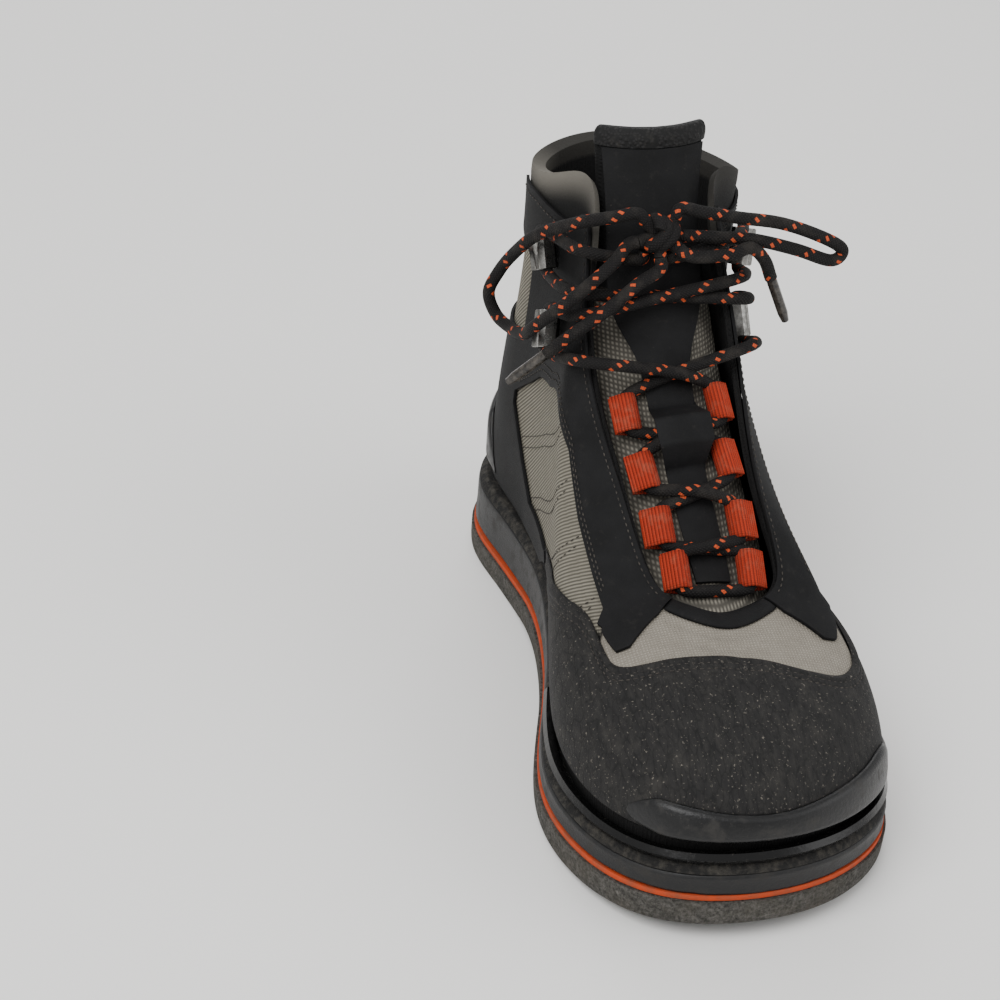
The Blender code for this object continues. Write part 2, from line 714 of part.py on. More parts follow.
# Places of the webbing loops up the throat, and of the hooks on the inner side as turn and share.
LOOP_PLACES = {"1": 0.49, "2": 0.36, "3": 0.21, "4": 0.05}
HOOK_PLACES = {"lower": (14.0, .656), "upper": (14.66, .825)}
LOOP_INSIDE = LACE_DIAMETER / 2 + 0.0005
LOOP_SEAT = 0.0016
SIDES = {"inner": -1, "outer": 1}


def edge_turn(place, side):
    """Turn of the throat's edge at a place up the throat."""
    turn = TURN["toe_side_inner"] + 3.0 * place
    return turn if side < 0 else COUNT - turn


def loop_frame(place, side):
    """Root, length to the fold's centre, and the directions along, off the tongue and up the throat."""
    turn = edge_turn(place, side)
    root = lifted(turn, 1.0, -WALL / 2)
    gap = throat_line(place)[2][0]
    middle_reach = WEBBING_REACH - LOOP_INSIDE - WEBBING_THICK
    over = (gap / 2 - middle_reach) / (gap * tongue_half(place))
    fold = tongue_face(place, side * over, -(LOOP_INSIDE + WEBBING_THICK + LOOP_SEAT))
    run = fold - root
    climb = wall(turn - side * 0.05, 1.0) - wall(turn + side * 0.05, 1.0)
    climb = climb - run * np.dot(climb, run) / np.dot(run, run)
    climb /= np.linalg.norm(climb)
    run_length = np.linalg.norm(run)
    run = run / run_length
    off = np.cross(run, climb) * -side
    span = np.linalg.norm(wall(edge_turn(place + 0.02, side), 1.0) - wall(edge_turn(place, side), 1.0)) / 0.02
    beside = edge_turn(place + np.linspace(-1, 1, 9) * 0.7 * WEBBING_WIDTH / span, side)
    edge = np.concatenate([wall(beside, 1.0), lifted(beside, 1.0, np.full(9, -WALL))])
    start = max(0.0, np.max((edge - root) @ run)) + 3 * CLEAR
    return root, start, run_length, run, off, climb


def build_loops(shades):
    """Webbing loops: a band folded round the lace, with both ends at the throat's edge."""
    angles = np.radians([112, 75, 38, 0, -38, -75, -112])
    for side_name, side in SIDES.items():
        for number, place in LOOP_PLACES.items():
            root, start, run_length, run, off, climb = loop_frame(place, side)
            rings = []
            for radius, root_half, root_at in ((LOOP_INSIDE + WEBBING_THICK, WEBBING_THICK, start),
                                               (LOOP_INSIDE, CLEAR / 2, start + 3 * WEBBING_THICK)):
                outline = [(root_at, root_half)]
                outline += [(run_length + radius * math.cos(a), radius * math.sin(a)) for a in angles]
                outline += [(root_at, -root_half)]
                flat = [root + run * x + off * y for x, y in outline]
                ends = [[point + climb * end * WEBBING_WIDTH / 2 for point in flat] for end in (-1, 1)]
                rings += ends if not rings else ends[::-1]
            hoop(f"loop_{side_name}_{number}", shades["webbing"], rings)


def hook_frame(name, side):
    """Seat of a hook on the overlay, and the directions to the throat, out, and up the throat."""
    turn, share = HOOK_PLACES[name]
    turn = turn if side < 0 else COUNT - turn
    seat = lifted(turn, share, LAYER_CLEAR + OVERLAY + 3 * CLEAR)
    out = wall_normal(np.array([turn]), np.array([share]))[0]
    edge = CURVES["top"].at(edge_turn(0.95, side)) - CURVES["top"].at(edge_turn(0.6, side))
    climb = edge - out * np.dot(edge, out)
    climb /= np.linalg.norm(climb)
    toward = np.cross(climb, out) * -side
    return seat, toward, out, climb


def build_hooks(shades):
    """Lace hooks: a strip bent round the lace, open away from the throat."""
    gap = LACE_DIAMETER + 2 * CLEAR
    lip = HOOK_THICK * 1.5 + gap
    middle = [(-HOOK_WIDTH * .75, HOOK_THICK / 2), (HOOK_WIDTH * .2, HOOK_THICK / 2),
              (HOOK_WIDTH * .42, HOOK_THICK * 1.5), (HOOK_WIDTH * .42, lip - HOOK_THICK),
              (HOOK_WIDTH * .2, lip), (-HOOK_WIDTH * .5, lip), (-HOOK_WIDTH * .75, lip + HOOK_THICK)]
    middle = np.array(middle)
    run = np.gradient(middle, axis=0)
    run /= np.linalg.norm(run, axis=1, keepdims=True)
    aside = np.column_stack([run[:, 1], -run[:, 0]]) * HOOK_THICK / 2
    outline = [*(middle + aside), *(middle - aside)[::-1]]
    for side_name, side in SIDES.items():
        for name in HOOK_PLACES:
            seat, toward, out, climb = hook_frame(name, side)
            mesh_data = bmesh.new()
            flat = [seat + toward * x + out * y for x, y in outline]
            rings = add_rings(mesh_data, [[point + climb * end * HOOK_HEIGHT / 2 for point in flat]
                                          for end in (-1, 1)])
            join_rings(mesh_data, *rings)
            half = len(middle)
            for ring in rings:
                for here in range(half - 1):
                    mesh_data.faces.new((ring[here], ring[here + 1], ring[-here - 2], ring[-here - 1]))
            finish(f"hook_{side_name}_{name}", mesh_data, shades["metal"])


LACE_SEAT = LACE_DIAMETER / 2 + 0.0016
LACE_OVER = LAYER_CLEAR + OVERLAY + LACE_SEAT
CROSS_HEIGHT = TONGUE_CLEAR + OVERLAY + LACE_SEAT
KNOT_CENTRE = np.array([-0.0050, 0.0350, 0.1830])
LACE_ENDS = {"inner": (-0.0103, 0.0354, 0.1760), "outer": (-0.0002, 0.0363, 0.1758)}


def beside_loop(number, side, end):
    """Where a strand comes out of a loop's fold, near its upper or its lower end."""
    root, _, run_length, run, off, climb = loop_frame(LOOP_PLACES[number], side)
    reach = run_length + LOOP_INSIDE + WEBBING_THICK + CLEAR + LACE_DIAMETER * 0.35
    return root + run * reach + climb * end * WEBBING_WIDTH * 0.4 + off * LOOP_SEAT


def beside_hook(name, side, end):
    """Where a strand leaves a hook, at its upper or its lower end."""
    seat, toward, out, climb = hook_frame(name, side)
    centre = seat + out * (HOOK_THICK + CLEAR + LACE_DIAMETER / 2) + toward * HOOK_WIDTH * 0.2
    return centre + climb * end * (HOOK_HEIGHT / 2 + LACE_DIAMETER)


def round_edge(place, side):
    """Where a strand passes in front of the throat's edge."""
    edge = lifted(edge_turn(place, side), 0.99, LACE_OVER)
    front = tongue_face(place, 0.0, -1.0) - tongue_face(place, 0.0, 0.0)
    return edge + front * LACE_SEAT


def on_quarter(turn, share, side):
    """Where a strand lies on the quarter, given by the inner side's turn."""
    return lifted(turn if side < 0 else COUNT - turn, share, LACE_OVER)


def middle_of(place):
    """Where two strands cross in front of the tongue."""
    return tongue_face(place, 0.0, -CROSS_HEIGHT)


def leave_knot(point):
    """Two points on the straight way out of the knot through a point of the route."""
    way = np.array(point) - KNOT_CENTRE
    way /= np.linalg.norm(way)
    return [KNOT_CENTRE + way * (KNOT_RADIUS + CLEAR), KNOT_CENTRE + way * (KNOT_RADIUS + 0.9 * LACE_DIAMETER)]


def build_throat_lace(shades):
    """The bar, the crossings and the two strands up to the knot."""
    lace = shades["lace"]
    numbers = list(LOOP_PLACES)
    ends = [beside_loop("4", side, -1) for side in SIDES.values()]
    middle = (ends[0] + ends[1]) / 2 + (middle_of(-0.02) - middle_of(-0.02 + 0.07)) * 0.3
    finish("lace_bar", mesh_tube("lace_bar", [ends[0], middle, ends[1]], LACE_DIAMETER), lace)
    for upper, lower in zip(numbers, numbers[1:]):
        middle = middle_of((LOOP_PLACES[upper] + LOOP_PLACES[lower]) / 2)
        strands = [[beside_loop(lower, side, 1), middle, beside_loop(upper, -side, -1)]
                   for side in SIDES.values()]
        crossing(f"lace_cross_{lower}", lace, *strands)
    strands = [[beside_loop("1", side, 1), middle_of(0.57), round_edge(0.60, -side),
                on_quarter(13.30, 0.74, -side), beside_hook("lower", -side, -1)] for side in SIDES.values()]
    crossing("lace_cross_1", lace, *strands)
    strands = [[beside_hook("lower", side, 1), round_edge(0.69, side), middle_of(0.71),
                round_edge(0.735, -side), beside_hook("upper", -side, -1)] for side in SIDES.values()]
    crossing("lace_cross_hooks", lace, *strands)
    for side_name, side in SIDES.items():
        into_knot = leave_knot(LACE_ENDS[side_name])[::-1]
        route = [beside_hook("upper", side, 1), round_edge(0.82, side), *into_knot]
        finish(f"lace_top_{side_name}", mesh_tube("lace_top", route, LACE_DIAMETER), lace)


# Routes of the free lace, in metres: two bow loops and two ends that leave the knot.
CORDS = {
    "bow_inner": [
        (-.0116, .0359, .1887), (-.0230, .0370, .1900), (-.0360, .0440, .1845), (-.0468, .0586, .1732),
        (-.0520, .0735, .1580), (-.0560, .0795, .1470), (-.0595, .0780, .1390), (-.0565, .0740, .1310),
        (-.0530, .0620, .1310), (-.0520, .0460, .1370), (-.0500, .0330, .1480), (-.0400, .0225, .1640),
        (-.0250, .0280, .1745), (-.0134, .0350, .1804)],
    "bow_outer": [
        (.0003, .0359, .1900), (.0110, .0340, .1925), (.0250, .0340, .1900), (.0430, .0340, .1872),
        (.0610, .0350, .1805), (.0705, .0360, .1745), (.0660, .0350, .1705), (.0500, .0330, .1765),
        (.0320, .0320, .1815), (.0170, .0335, .1822), (.0036, .0359, .1821)],
    "end_inner": [
        (-.0054, .0306, .1754), (-.0150, .0240, .1680), (-.0290, .0190, .1590), (-.0400, .0220, .1480),
        (-.0475, .0270, .1380)],
    "end_outer": [
        (.0016, .0306, .1792), (.0100, .0262, .1775), (.0210, .0250, .1790), (.0290, .0270, .1805),
        (.0360, .0290, .1745), (.0403, .0300, .1660)],
}


def build_cords(shades):
    """Knot, bow loops, ends and their clear tips."""
    mesh_data = bmesh.new()
    bmesh.ops.create_icosphere(mesh_data, subdivisions=2, radius=KNOT_RADIUS)
    bmesh.ops.translate(mesh_data, verts=mesh_data.verts, vec=KNOT_CENTRE)
    finish("knot", mesh_data, shades["lace"])
    for name, points in CORDS.items():
        back_to_knot = name.startswith("bow")
        points = [*leave_knot(points[0]), *map(np.array, points[1:])]
        if back_to_knot:
            points = [*points[:-1], *leave_knot(points[-1])[::-1]]
        route = smooth_route(points, 2)
        tube(name, shades["lace"], route, LACE_DIAMETER, 2)
        if not back_to_knot:
            way = route[-1] - route[-2]
            way /= np.linalg.norm(way)
            tip = [route[-1] + way * CLEAR, route[-1] + way * TIP_LENGTH]
            tube(name.replace("end", "tip"), shades["tip"], tip, TIP_DIAMETER, 2)


def main():
    """Build the boot."""
    clear_scene()
    shades = {
        "felt": material("felt", "5d5b57", 0.95),
        "line": material("orange_foam", "c4532b", 0.7),
        "midsole": material("midsole_rubber", "1d1d1f", 0.55),
        "welt": material("welt_rubber", "3a3a3a", 0.85),
        "insole": material("insole_board", "3b3a3a", 0.9),
        "fabric": material("side_fabric", "8f8a82", 0.85),
        "nubuck": material("black_nubuck", "242324", 0.75),
        "rand": material("toe_rand_nubuck", "2f2e2d", 0.8),
        "rubber": material("moulded_rubber", "1b1b1c", 0.45),
        "webbing": material("orange_webbing", "b5492b", 0.8),
        "metal": material("nickel_plate", "b9b9b6", 0.3, 1.0),
        "lace": material("round_lace", "1f1e1e", 0.8),
        "tip": material("clear_tip", "9b9890", 0.25),
    }
    inner_edge = build_sole(shades)
    build_insole(shades, inner_edge)
    build_upper(shades)
    build_overlays(shades)
    build_tongue(shades)
    build_tongue_pieces(shades)
    build_loops(shades)
    build_hooks(shades)
    build_throat_lace(shades)
    build_cords(shades)


main()
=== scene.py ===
# %% [markdown]
# # A wading boot, dressed
# This lesson takes the plain solids of a lace-up wading boot and gives them the look of the worn
# original: dusty felt, moulded rubber, rubbed nubuck, ribbed cloth, webbing and a flecked lace. The
# solids come in from model.glb, in metres, with the boot standing on Z = 0. The toe points to
# -Y and the inner side of the left foot is -X.

# %% Load the frame
import math

import bmesh
import bpy
import numpy as np
from mathutils import Matrix, Vector


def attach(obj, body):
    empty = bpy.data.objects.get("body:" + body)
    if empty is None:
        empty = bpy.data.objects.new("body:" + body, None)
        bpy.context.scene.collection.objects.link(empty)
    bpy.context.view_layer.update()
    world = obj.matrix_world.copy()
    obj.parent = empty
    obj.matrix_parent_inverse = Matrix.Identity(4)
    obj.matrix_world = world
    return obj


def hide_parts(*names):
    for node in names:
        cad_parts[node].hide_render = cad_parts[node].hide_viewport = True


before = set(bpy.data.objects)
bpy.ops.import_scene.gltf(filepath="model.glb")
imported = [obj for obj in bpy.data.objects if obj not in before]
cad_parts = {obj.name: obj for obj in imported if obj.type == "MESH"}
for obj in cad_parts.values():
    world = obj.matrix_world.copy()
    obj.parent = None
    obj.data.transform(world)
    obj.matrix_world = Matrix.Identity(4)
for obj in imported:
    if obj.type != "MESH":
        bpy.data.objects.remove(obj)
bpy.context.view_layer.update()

print("solids:", len(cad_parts))

# %% [markdown]
# ## Camera
# A photograph has a viewpoint, and matching it is the first job, because every later choice is
# judged through it. A camera in Blender looks down its own -Z axis, so its matrix can be built from
# three directions: right, up and back. The angles below were found by laying the sole's outline
# over the photograph until both agreed; the roll turns the frame like a slightly tilted camera.

# %% Camera
VIEW_TARGET = Vector((-0.0515, 0.0619, 0.0506))
VIEW_AZIMUTH = math.radians(-15.0)
VIEW_HEIGHT = math.radians(31.34)
VIEW_ROLL = math.radians(5.07)
VIEW_DISTANCE = 0.9119
FOCAL_PIXELS = 2183.7
FRAME_PIXELS = 1000
SENSOR_MM = 36.0


def make_camera():
    """Camera at the photograph's angle, with its roll."""
    back = Vector((math.sin(VIEW_AZIMUTH) * math.cos(VIEW_HEIGHT),
                   -math.cos(VIEW_AZIMUTH) * math.cos(VIEW_HEIGHT), math.sin(VIEW_HEIGHT)))
    right = (-back).cross(Vector((0, 0, 1))).normalized()
    up = right.cross(-back)
    rolled_right = right * math.cos(VIEW_ROLL) + up * math.sin(VIEW_ROLL)
    rolled_up = up * math.cos(VIEW_ROLL) - right * math.sin(VIEW_ROLL)
    data = bpy.data.cameras.new("photo_camera")
    data.sensor_width = SENSOR_MM
    data.lens = FOCAL_PIXELS / FRAME_PIXELS * SENSOR_MM
    camera = bpy.data.objects.new("photo_camera", data)
    camera.matrix_world = Matrix.Translation(VIEW_TARGET + back * VIEW_DISTANCE) @ Matrix(
        (rolled_right, rolled_up, back)).transposed().to_4x4()
    bpy.context.scene.collection.objects.link(camera)
    bpy.context.scene.camera = camera
    return camera


camera = make_camera()
print("lens:", round(camera.data.lens, 1), "mm")

# %% [markdown]
# ## Colours and nodes
# Colours are written as sRGB hex values, the way a swatch book gives them, but shaders work with
# linear light. One function converts them. A second small function adds any shader node: it takes
# the node's type, its settings and what goes into its sockets, which may be a value or a link.

# %% Colour and node helpers
def linear(colour):
    """Linear RGBA from an sRGB hex colour."""
    parts = [int(colour[start:start + 2], 16) / 255 for start in (0, 2, 4)]
    parts = [part / 12.92 if part <= 0.04045 else ((part + 0.055) / 1.055) ** 2.4 for part in parts]
    return (*parts, 1.0)


def add(tree, kind, inputs=None, out=0, **settings):
    """Add a shader node with its settings; an input is a hex colour, a value or another output."""
    made = tree.nodes.new(kind)
    for key, value in settings.items():
        setattr(made, key, value)
    for key, value in (inputs or {}).items():
        if isinstance(value, bpy.types.NodeSocket):
            tree.links.new(value, made.inputs[key])
        else:
            made.inputs[key].default_value = linear(value) if isinstance(value, str) else value
    return made.outputs[out]


def start_material(name, roughness, specular=0.5, **sockets):
    """A Principled material; further sockets are given by name with underscores."""
    shade = bpy.data.materials.new(name)
    shade.use_nodes = True
    shader = shade.node_tree.nodes["Principled BSDF"]
    shader.inputs["Roughness"].default_value = roughness
    shader.inputs["Specular IOR Level"].default_value = specular
    for key, value in sockets.items():
        shader.inputs[key.replace("_", " ")].default_value = value
    return shade, shade.node_tree, shader


RELIEF_STRENGTH = 0.8


def wire(tree, shader, colour, reliefs, roughness=None):
    """Link a colour and a roughness, and stack reliefs, each a height with its depth in millimetres."""
    tree.links.new(colour, shader.inputs["Base Color"])
    if roughness:
        tree.links.new(roughness, shader.inputs["Roughness"])
    below = {}
    for height, depth_mm in reliefs:
        bump = {"Height": height, "Distance": depth_mm / 1000, "Strength": RELIEF_STRENGTH, **below}
        below = {"Normal": add(tree, "ShaderNodeBump", bump)}
    tree.links.new(below["Normal"], shader.inputs["Normal"])


def cloud(tree, where, size_mm, low, high, detail=5.0, roughness=0.6):
    """Patches about size_mm wide: nothing where the noise is below low, full above high."""
    grain = add(tree, "ShaderNodeTexNoise", {"Vector": where, "Scale": 1000 / size_mm, "Detail": detail,
                                             "Roughness": roughness})
    return add(tree, "ShaderNodeMapRange", {"Value": grain, "From Min": low, "From Max": high})


def ribs(tree, length, pitch_mm):
    """Rounded ribs of one pitch across a length in metres, from 0 in the grooves to 1."""
    turns = add(tree, "ShaderNodeMath", {0: length, 1: 2 * math.pi * 1000 / pitch_mm}, operation="MULTIPLY")
    wave = add(tree, "ShaderNodeMath", {0: turns}, operation="SINE")
    return add(tree, "ShaderNodeMapRange", {"Value": wave, "From Min": -1.0})


def layer(tree, share, under, over, strength=1.0):
    """Paint one colour over another where share says, as strongly as strength."""
    part = add(tree, "ShaderNodeMath", {0: share, 1: strength}, operation="MULTIPLY")
    return add(tree, "ShaderNodeMix", {0: part, 6: under, 7: over}, 2, data_type="RGBA")


print("helpers ready")

# %% [markdown]
# ## The boot's own shape
# Every curved part of the boot follows two functions. The first is the outline of the sole: a
# closed curve through eighteen named stations. The second is the upper's wall, a sheet that rises
# from the sole's edge to the throat and collar. A point of it is named by a turn, counted in
# stations round the boot, and a share of the height. Stitches, seams and creases can then be placed
# in the boot's own terms, such as a row 3 mm above the rand, instead of by raw coordinates.

# %% Sizes of the boot
LENGTH = 0.314
BALL_WIDTH = 0.128
FELT_THICK = 0.0105
LINE_THICK = 0.0024
MIDSOLE_THICK = 0.0080
HEEL_RISE = 0.0120
WELT_THICK = 0.0033
WELT_LEDGE = 0.0090
TOE_SPRING = 0.0085
ARCH_LIFT = 0.0040

# Driving sizes of the upper
THROAT_HEIGHT = 0.0760
COLLAR_HEIGHT = 0.1830
COLLAR_WIDTH = 0.0820
THROAT_WIDTH = 0.0480
WALL = 0.0024
COLLAR_WALL = 0.0060
OVERLAY = 0.0013
BUMPER = 0.0024
COUNTER = 0.0022
TONGUE_THICK = 0.0045
TONGUE_RISE = 0.0190

# Driving sizes of the fittings
WEBBING_WIDTH = 0.0150
WEBBING_THICK = 0.0012
WEBBING_REACH = 0.0165
LACE_DIAMETER = 0.0050
HOOK_WIDTH = 0.0062
HOOK_HEIGHT = 0.0150
HOOK_THICK = 0.0013
KNOT_RADIUS = 0.0085
TIP_DIAMETER = 0.0042
TIP_LENGTH = 0.0220

# Gaps: between neighbours, between the layers of the upper, and between tongue and overlay
CLEAR = 0.0003
LAYER_CLEAR = 0.0005
TONGUE_CLEAR = 0.0009

# The stations go round the boot from the heel over the outer side to the toe and back along the
# inner side. Each row holds the sole's outline, and the wall that rises there from sole to topline:
# along and top_along are shares of LENGTH from the heel, across is a share of half BALL_WIDTH,
# inset is a share of WELT_LEDGE, top_across is a share of half COLLAR_WIDTH, top_rise is a share of
# the height from throat to collar, rise and drop are shares of the wall's own height, and lean and
# reach, outward, are shares of half BALL_WIDTH.
STATION_COLUMNS = ("along", "across", "inset", "top_along", "top_across", "top_rise",
                   "rise", "lean", "reach", "drop")
STATIONS = {
    "heel_back": (.000, .00, 1.0, .056, .07, 1.00, .34, .11, -.09, .40),
    "heel_corner_outer": (.045, .50, 1.0, .075, .63, .99, .34, .09, -.06, .40),
    "heel_outer": (.155, .76, 1.0, .150, 1.05, .99, .34, .05, -.06, .40),
    "ankle_outer": (.260, .78, 1.0, .235, 1.00, 1.05, .36, .05, -.06, .42),
    "waist_outer": (.360, .80, .9, .318, .54, 1.14, .38, .05, .09, .45),
    "instep_outer": (.500, .88, .9, .400, .63, .71, .38, .05, .06, .30),
    "ball_outer": (.668, 1.00, 1.0, .545, .63, .30, .42, .06, .19, .20),
    "toe_side_outer": (.872, .95, 1.0, .660, .66, .03, .56, .09, .36, .10),
    "toe_corner_outer": (.968, .50, 1.0, .692, .34, .00, .66, .12, .56, .10),
    "toe_tip": (1.000, -.07, 1.0, .702, .05, .00, .70, .12, .66, .12),
    "toe_corner_inner": (.974, -.61, 1.0, .692, -.22, .02, .66, .12, .56, .10),
    "toe_side_inner": (.885, -.92, 1.0, .660, -.46, .05, .56, .11, .41, .10),
    "ball_inner": (.738, -1.00, 1.0, .560, -.61, .26, .46, .12, .28, .20),
    "instep_inner": (.555, -.75, .6, .410, -.76, .68, .40, .14, .16, .30),
    "waist_inner": (.390, -.66, .5, .318, -.68, 1.12, .38, .15, .03, .45),
    "ankle_inner": (.270, -.72, .8, .235, -.88, 1.05, .36, .08, -.08, .42),
    "heel_inner": (.160, -.79, 1.0, .150, -.93, .99, .34, .05, -.06, .40),
    "heel_corner_inner": (.045, -.50, 1.0, .075, -.49, .99, .34, .09, -.06, .40),
}
NAMES = list(STATIONS)
TURN = {name: number for number, name in enumerate(NAMES)}
COUNT = len(NAMES)
print("stations round the boot:", COUNT)

# %% [markdown]
# ## Curves and the wall
# A last, the foot-shaped block that a boot is built on, has no flat side anywhere. Its surface could
# be sculpted, but then nothing could be placed on it by number. Here a closed curve runs through one
# value for each station, and the wall between sole and topline is a cubic sheet between two such
# curves: one where it meets the welt and one at the topline, each with its own lean.

# %% Curves of the boot
def column(name):
    """One column of the station table as numbers."""
    return np.array([row[STATION_COLUMNS.index(name)] for row in STATIONS.values()], float)


def smooth_step(value):
    """Ease from 0 to 1."""
    value = np.clip(value, 0.0, 1.0)
    return value * value * (3.0 - 2.0 * value)


def unit(way):
    """The same direction with length 1."""
    return way / np.linalg.norm(way, axis=-1, keepdims=True)


def distances(points):
    """Distance along a path from its start to each of its points."""
    return np.concatenate([[0.0], np.cumsum(np.linalg.norm(np.diff(points, axis=0), axis=1))])


class RoundCurve:
    """A closed cubic curve through one value, or one point, for each station."""

    def __init__(self, values, spans):
        self.values = np.asarray(values, float).reshape(len(spans), -1)
        self.spans = spans
        size = len(spans)
        matrix = np.zeros((size, size))
        right = np.zeros_like(self.values)
        for here in range(size):
            after = (here + 1) % size
            back, forward = spans[here - 1], spans[here]
            matrix[here, here - 1] += back
            matrix[here, here] += 2.0 * (back + forward)
            matrix[here, after] += forward
            slope = (self.values[after] - self.values[here]) / forward
            right[here] = 6.0 * (slope - (self.values[here] - self.values[here - 1]) / back)
        self.bends = np.linalg.solve(matrix, right)

    def at(self, turn):
        """Values at a turn, counted in stations."""
        turn = np.mod(np.asarray(turn, float), len(self.spans))
        first = np.minimum(turn.astype(int), len(self.spans) - 1)
        second = (first + 1) % len(self.spans)
        late = (turn - first)[..., None]
        early = 1.0 - late
        span = self.spans[first][..., None]
        bend = (early ** 3 - early) * self.bends[first] + (late ** 3 - late) * self.bends[second]
        return early * self.values[first] + late * self.values[second] + bend * span * span / 6.0


def make_curves():
    """The outline of the sole and the curves that steer the upper's wall."""
    outline = np.stack([column("across") * BALL_WIDTH / 2, (0.5 - column("along")) * LENGTH], 1)
    spans = np.linalg.norm(np.roll(outline, -1, 0) - outline, axis=1) / BALL_WIDTH
    dense = RoundCurve(outline, spans).at(np.linspace(0, COUNT, 40 * COUNT, endpoint=False))
    outline = outline - (dense.min(0) + dense.max(0)) / 2
    rise = THROAT_HEIGHT + column("top_rise") * (COLLAR_HEIGHT - THROAT_HEIGHT)
    top = np.stack([column("top_across") * COLLAR_WIDTH / 2, (0.5 - column("top_along")) * LENGTH, rise], 1)
    return {
        "outline": RoundCurve(outline, spans),
        "inset": RoundCurve(column("inset") * WELT_LEDGE, spans),
        "top": RoundCurve(top, spans),
        "rise": RoundCurve(column("rise"), spans),
        "drop": RoundCurve(column("drop"), spans),
        "lean": RoundCurve(column("lean") * BALL_WIDTH / 2, spans),
        "reach": RoundCurve(column("reach") * BALL_WIDTH / 2, spans),
    }


CURVES = make_curves()


def along(point_y):
    """Share of the length, 0 at the heel and 1 at the toe."""
    return 0.5 - point_y / LENGTH


def outward(turn):
    """Level unit direction that points out of the outline."""
    small = 0.001
    run = unit(CURVES["outline"].at(turn + small) - CURVES["outline"].at(turn - small))
    return np.stack([-run[..., 1], run[..., 0]], -1)


def ground(share):
    """Height of the sole's underside: flat heel, lifted arch, flat forefoot, then the toe spring."""
    toe = np.clip((share - 0.70) / 0.30, 0.0, 1.0)
    arch = np.clip((share - 0.30) / 0.25, 0.0, 1.0)
    return TOE_SPRING * toe ** 2 + ARCH_LIFT * np.sin(np.pi * arch) ** 2


def midsole_top(share):
    """Height of the midsole's upper face above the ground line."""
    heel = 1.0 - smooth_step((share - 0.25) / 0.45)
    return FELT_THICK + LINE_THICK + MIDSOLE_THICK + HEEL_RISE * heel


def feather(turn):
    """Where the upper's outer face meets the welt."""
    edge = CURVES["outline"].at(turn)
    share = along(edge[..., 1])
    flat = edge - outward(turn) * CURVES["inset"].at(turn)
    level = ground(share) + midsole_top(share) + WELT_THICK + CLEAR
    return np.concatenate([flat, level[..., None]], -1)


def wall(turn, share):
    """Outer face of the upper: share 0 on the welt, 1 on the topline."""
    turn, share = np.broadcast_arrays(np.asarray(turn, float), np.asarray(share, float))
    foot = feather(turn)
    top = CURVES["top"].at(turn)
    side = outward(turn)
    side = np.concatenate([side, np.zeros_like(side[..., :1])], -1)
    height = (top[..., 2] - foot[..., 2])[..., None] * np.array([0.0, 0.0, 1.0])
    lower = foot + side * CURVES["lean"].at(turn) + height * CURVES["rise"].at(turn)
    upper = top + side * CURVES["reach"].at(turn) - height * CURVES["drop"].at(turn)
    late = share[..., None]
    early = 1.0 - late
    return (early ** 3 * foot + 3 * early ** 2 * late * lower
            + 3 * early * late ** 2 * upper + late ** 3 * top)


def wall_normal(turn, share):
    """Unit direction out of the upper's wall."""
    small = 0.004
    low = np.clip(share - small, 0.0, 1.0)
    high = np.clip(share + small, 0.0, 1.0)
    round_run = wall(turn - small * 5, share) - wall(turn + small * 5, share)
    climb = wall(turn, high) - wall(turn, low)
    return unit(np.cross(round_run, climb))


def lifted(turn, share, height):
    """Point above the upper's outer face, or below it for a negative height."""
    turn, share = np.broadcast_arrays(np.asarray(turn, float), np.asarray(share, float))
    return wall(turn, share) + wall_normal(turn, share) * np.asarray(height)[..., None]


def table(rows, *names):
    """A short table as one function for each named column, straight between the rows."""
    data = np.array(rows, float)
    first = data[:, 0]
    steps = [lambda where, values=data[:, number + 1]: np.interp(where, first, values)
             for number in range(len(names))]
    return steps if len(steps) > 1 else steps[0]


def wall_thickness(turns, share):
    """Real thickness of the wall: thin below, padded round the collar."""
    top = CURVES["top"].at(turns)
    behind = smooth_step((0.30 - along(top[:, 1])) / 0.07)
    padded = smooth_step((share - 0.55) / 0.25) * behind
    return WALL + (COLLAR_WALL - WALL) * padded


print("collar's back stands", round(float(wall(0.0, 1.0)[2]) * 1000, 1), "mm high")

# %% [markdown]
# ## The tongue's shape
# The tongue is a padded tongue of cloth that fills the throat behind the lace. It isn't part of the
# wall, so it gets a function of its own: a place up the throat and a side across it give a point on
# its front. It is arched like the foot's instep, and its top stands above the collar.

# %% The tongue's front
# Rows up the throat: place is 0 at the throat's base and 1 at the collar's front corners. Front and
# drop are shares of THROAT_WIDTH: how far the tongue's middle stands off the line between the two
# edges, and how far its own edges fall behind the middle. Half is a share of the gap between edges.
TONGUE_ROWS = [
    ("under_vamp", -.26, -.130, .05, .42),
    ("throat_base", 0.00, -.060, .17, .55),
    ("lower_instep", 0.18, -.050, .24, .56),
    ("instep", 0.38, -.045, .24, .52),
    ("ankle", 0.60, -.030, .22, .46),
    ("shin", 0.85, -.020, .20, .43),
    ("collar", 1.00, -.010, .20, .43),
    ("top_edge", 1.28, -.020, .20, .47),
]
tongue_front, tongue_drop, tongue_half = table(
    [row[1:] for row in TONGUE_ROWS], "front", "drop", "half")
# Turns that each edge of the throat takes up, and how its middle line goes on below and above it.
THROAT_TURNS = TURN["waist_inner"] - TURN["toe_side_inner"]
LINE_BELOW = np.array([0.0, 0.175, 0.02]) * LENGTH
LINE_ABOVE = np.array([0.0, 0.10, 1.0]) * TONGUE_RISE


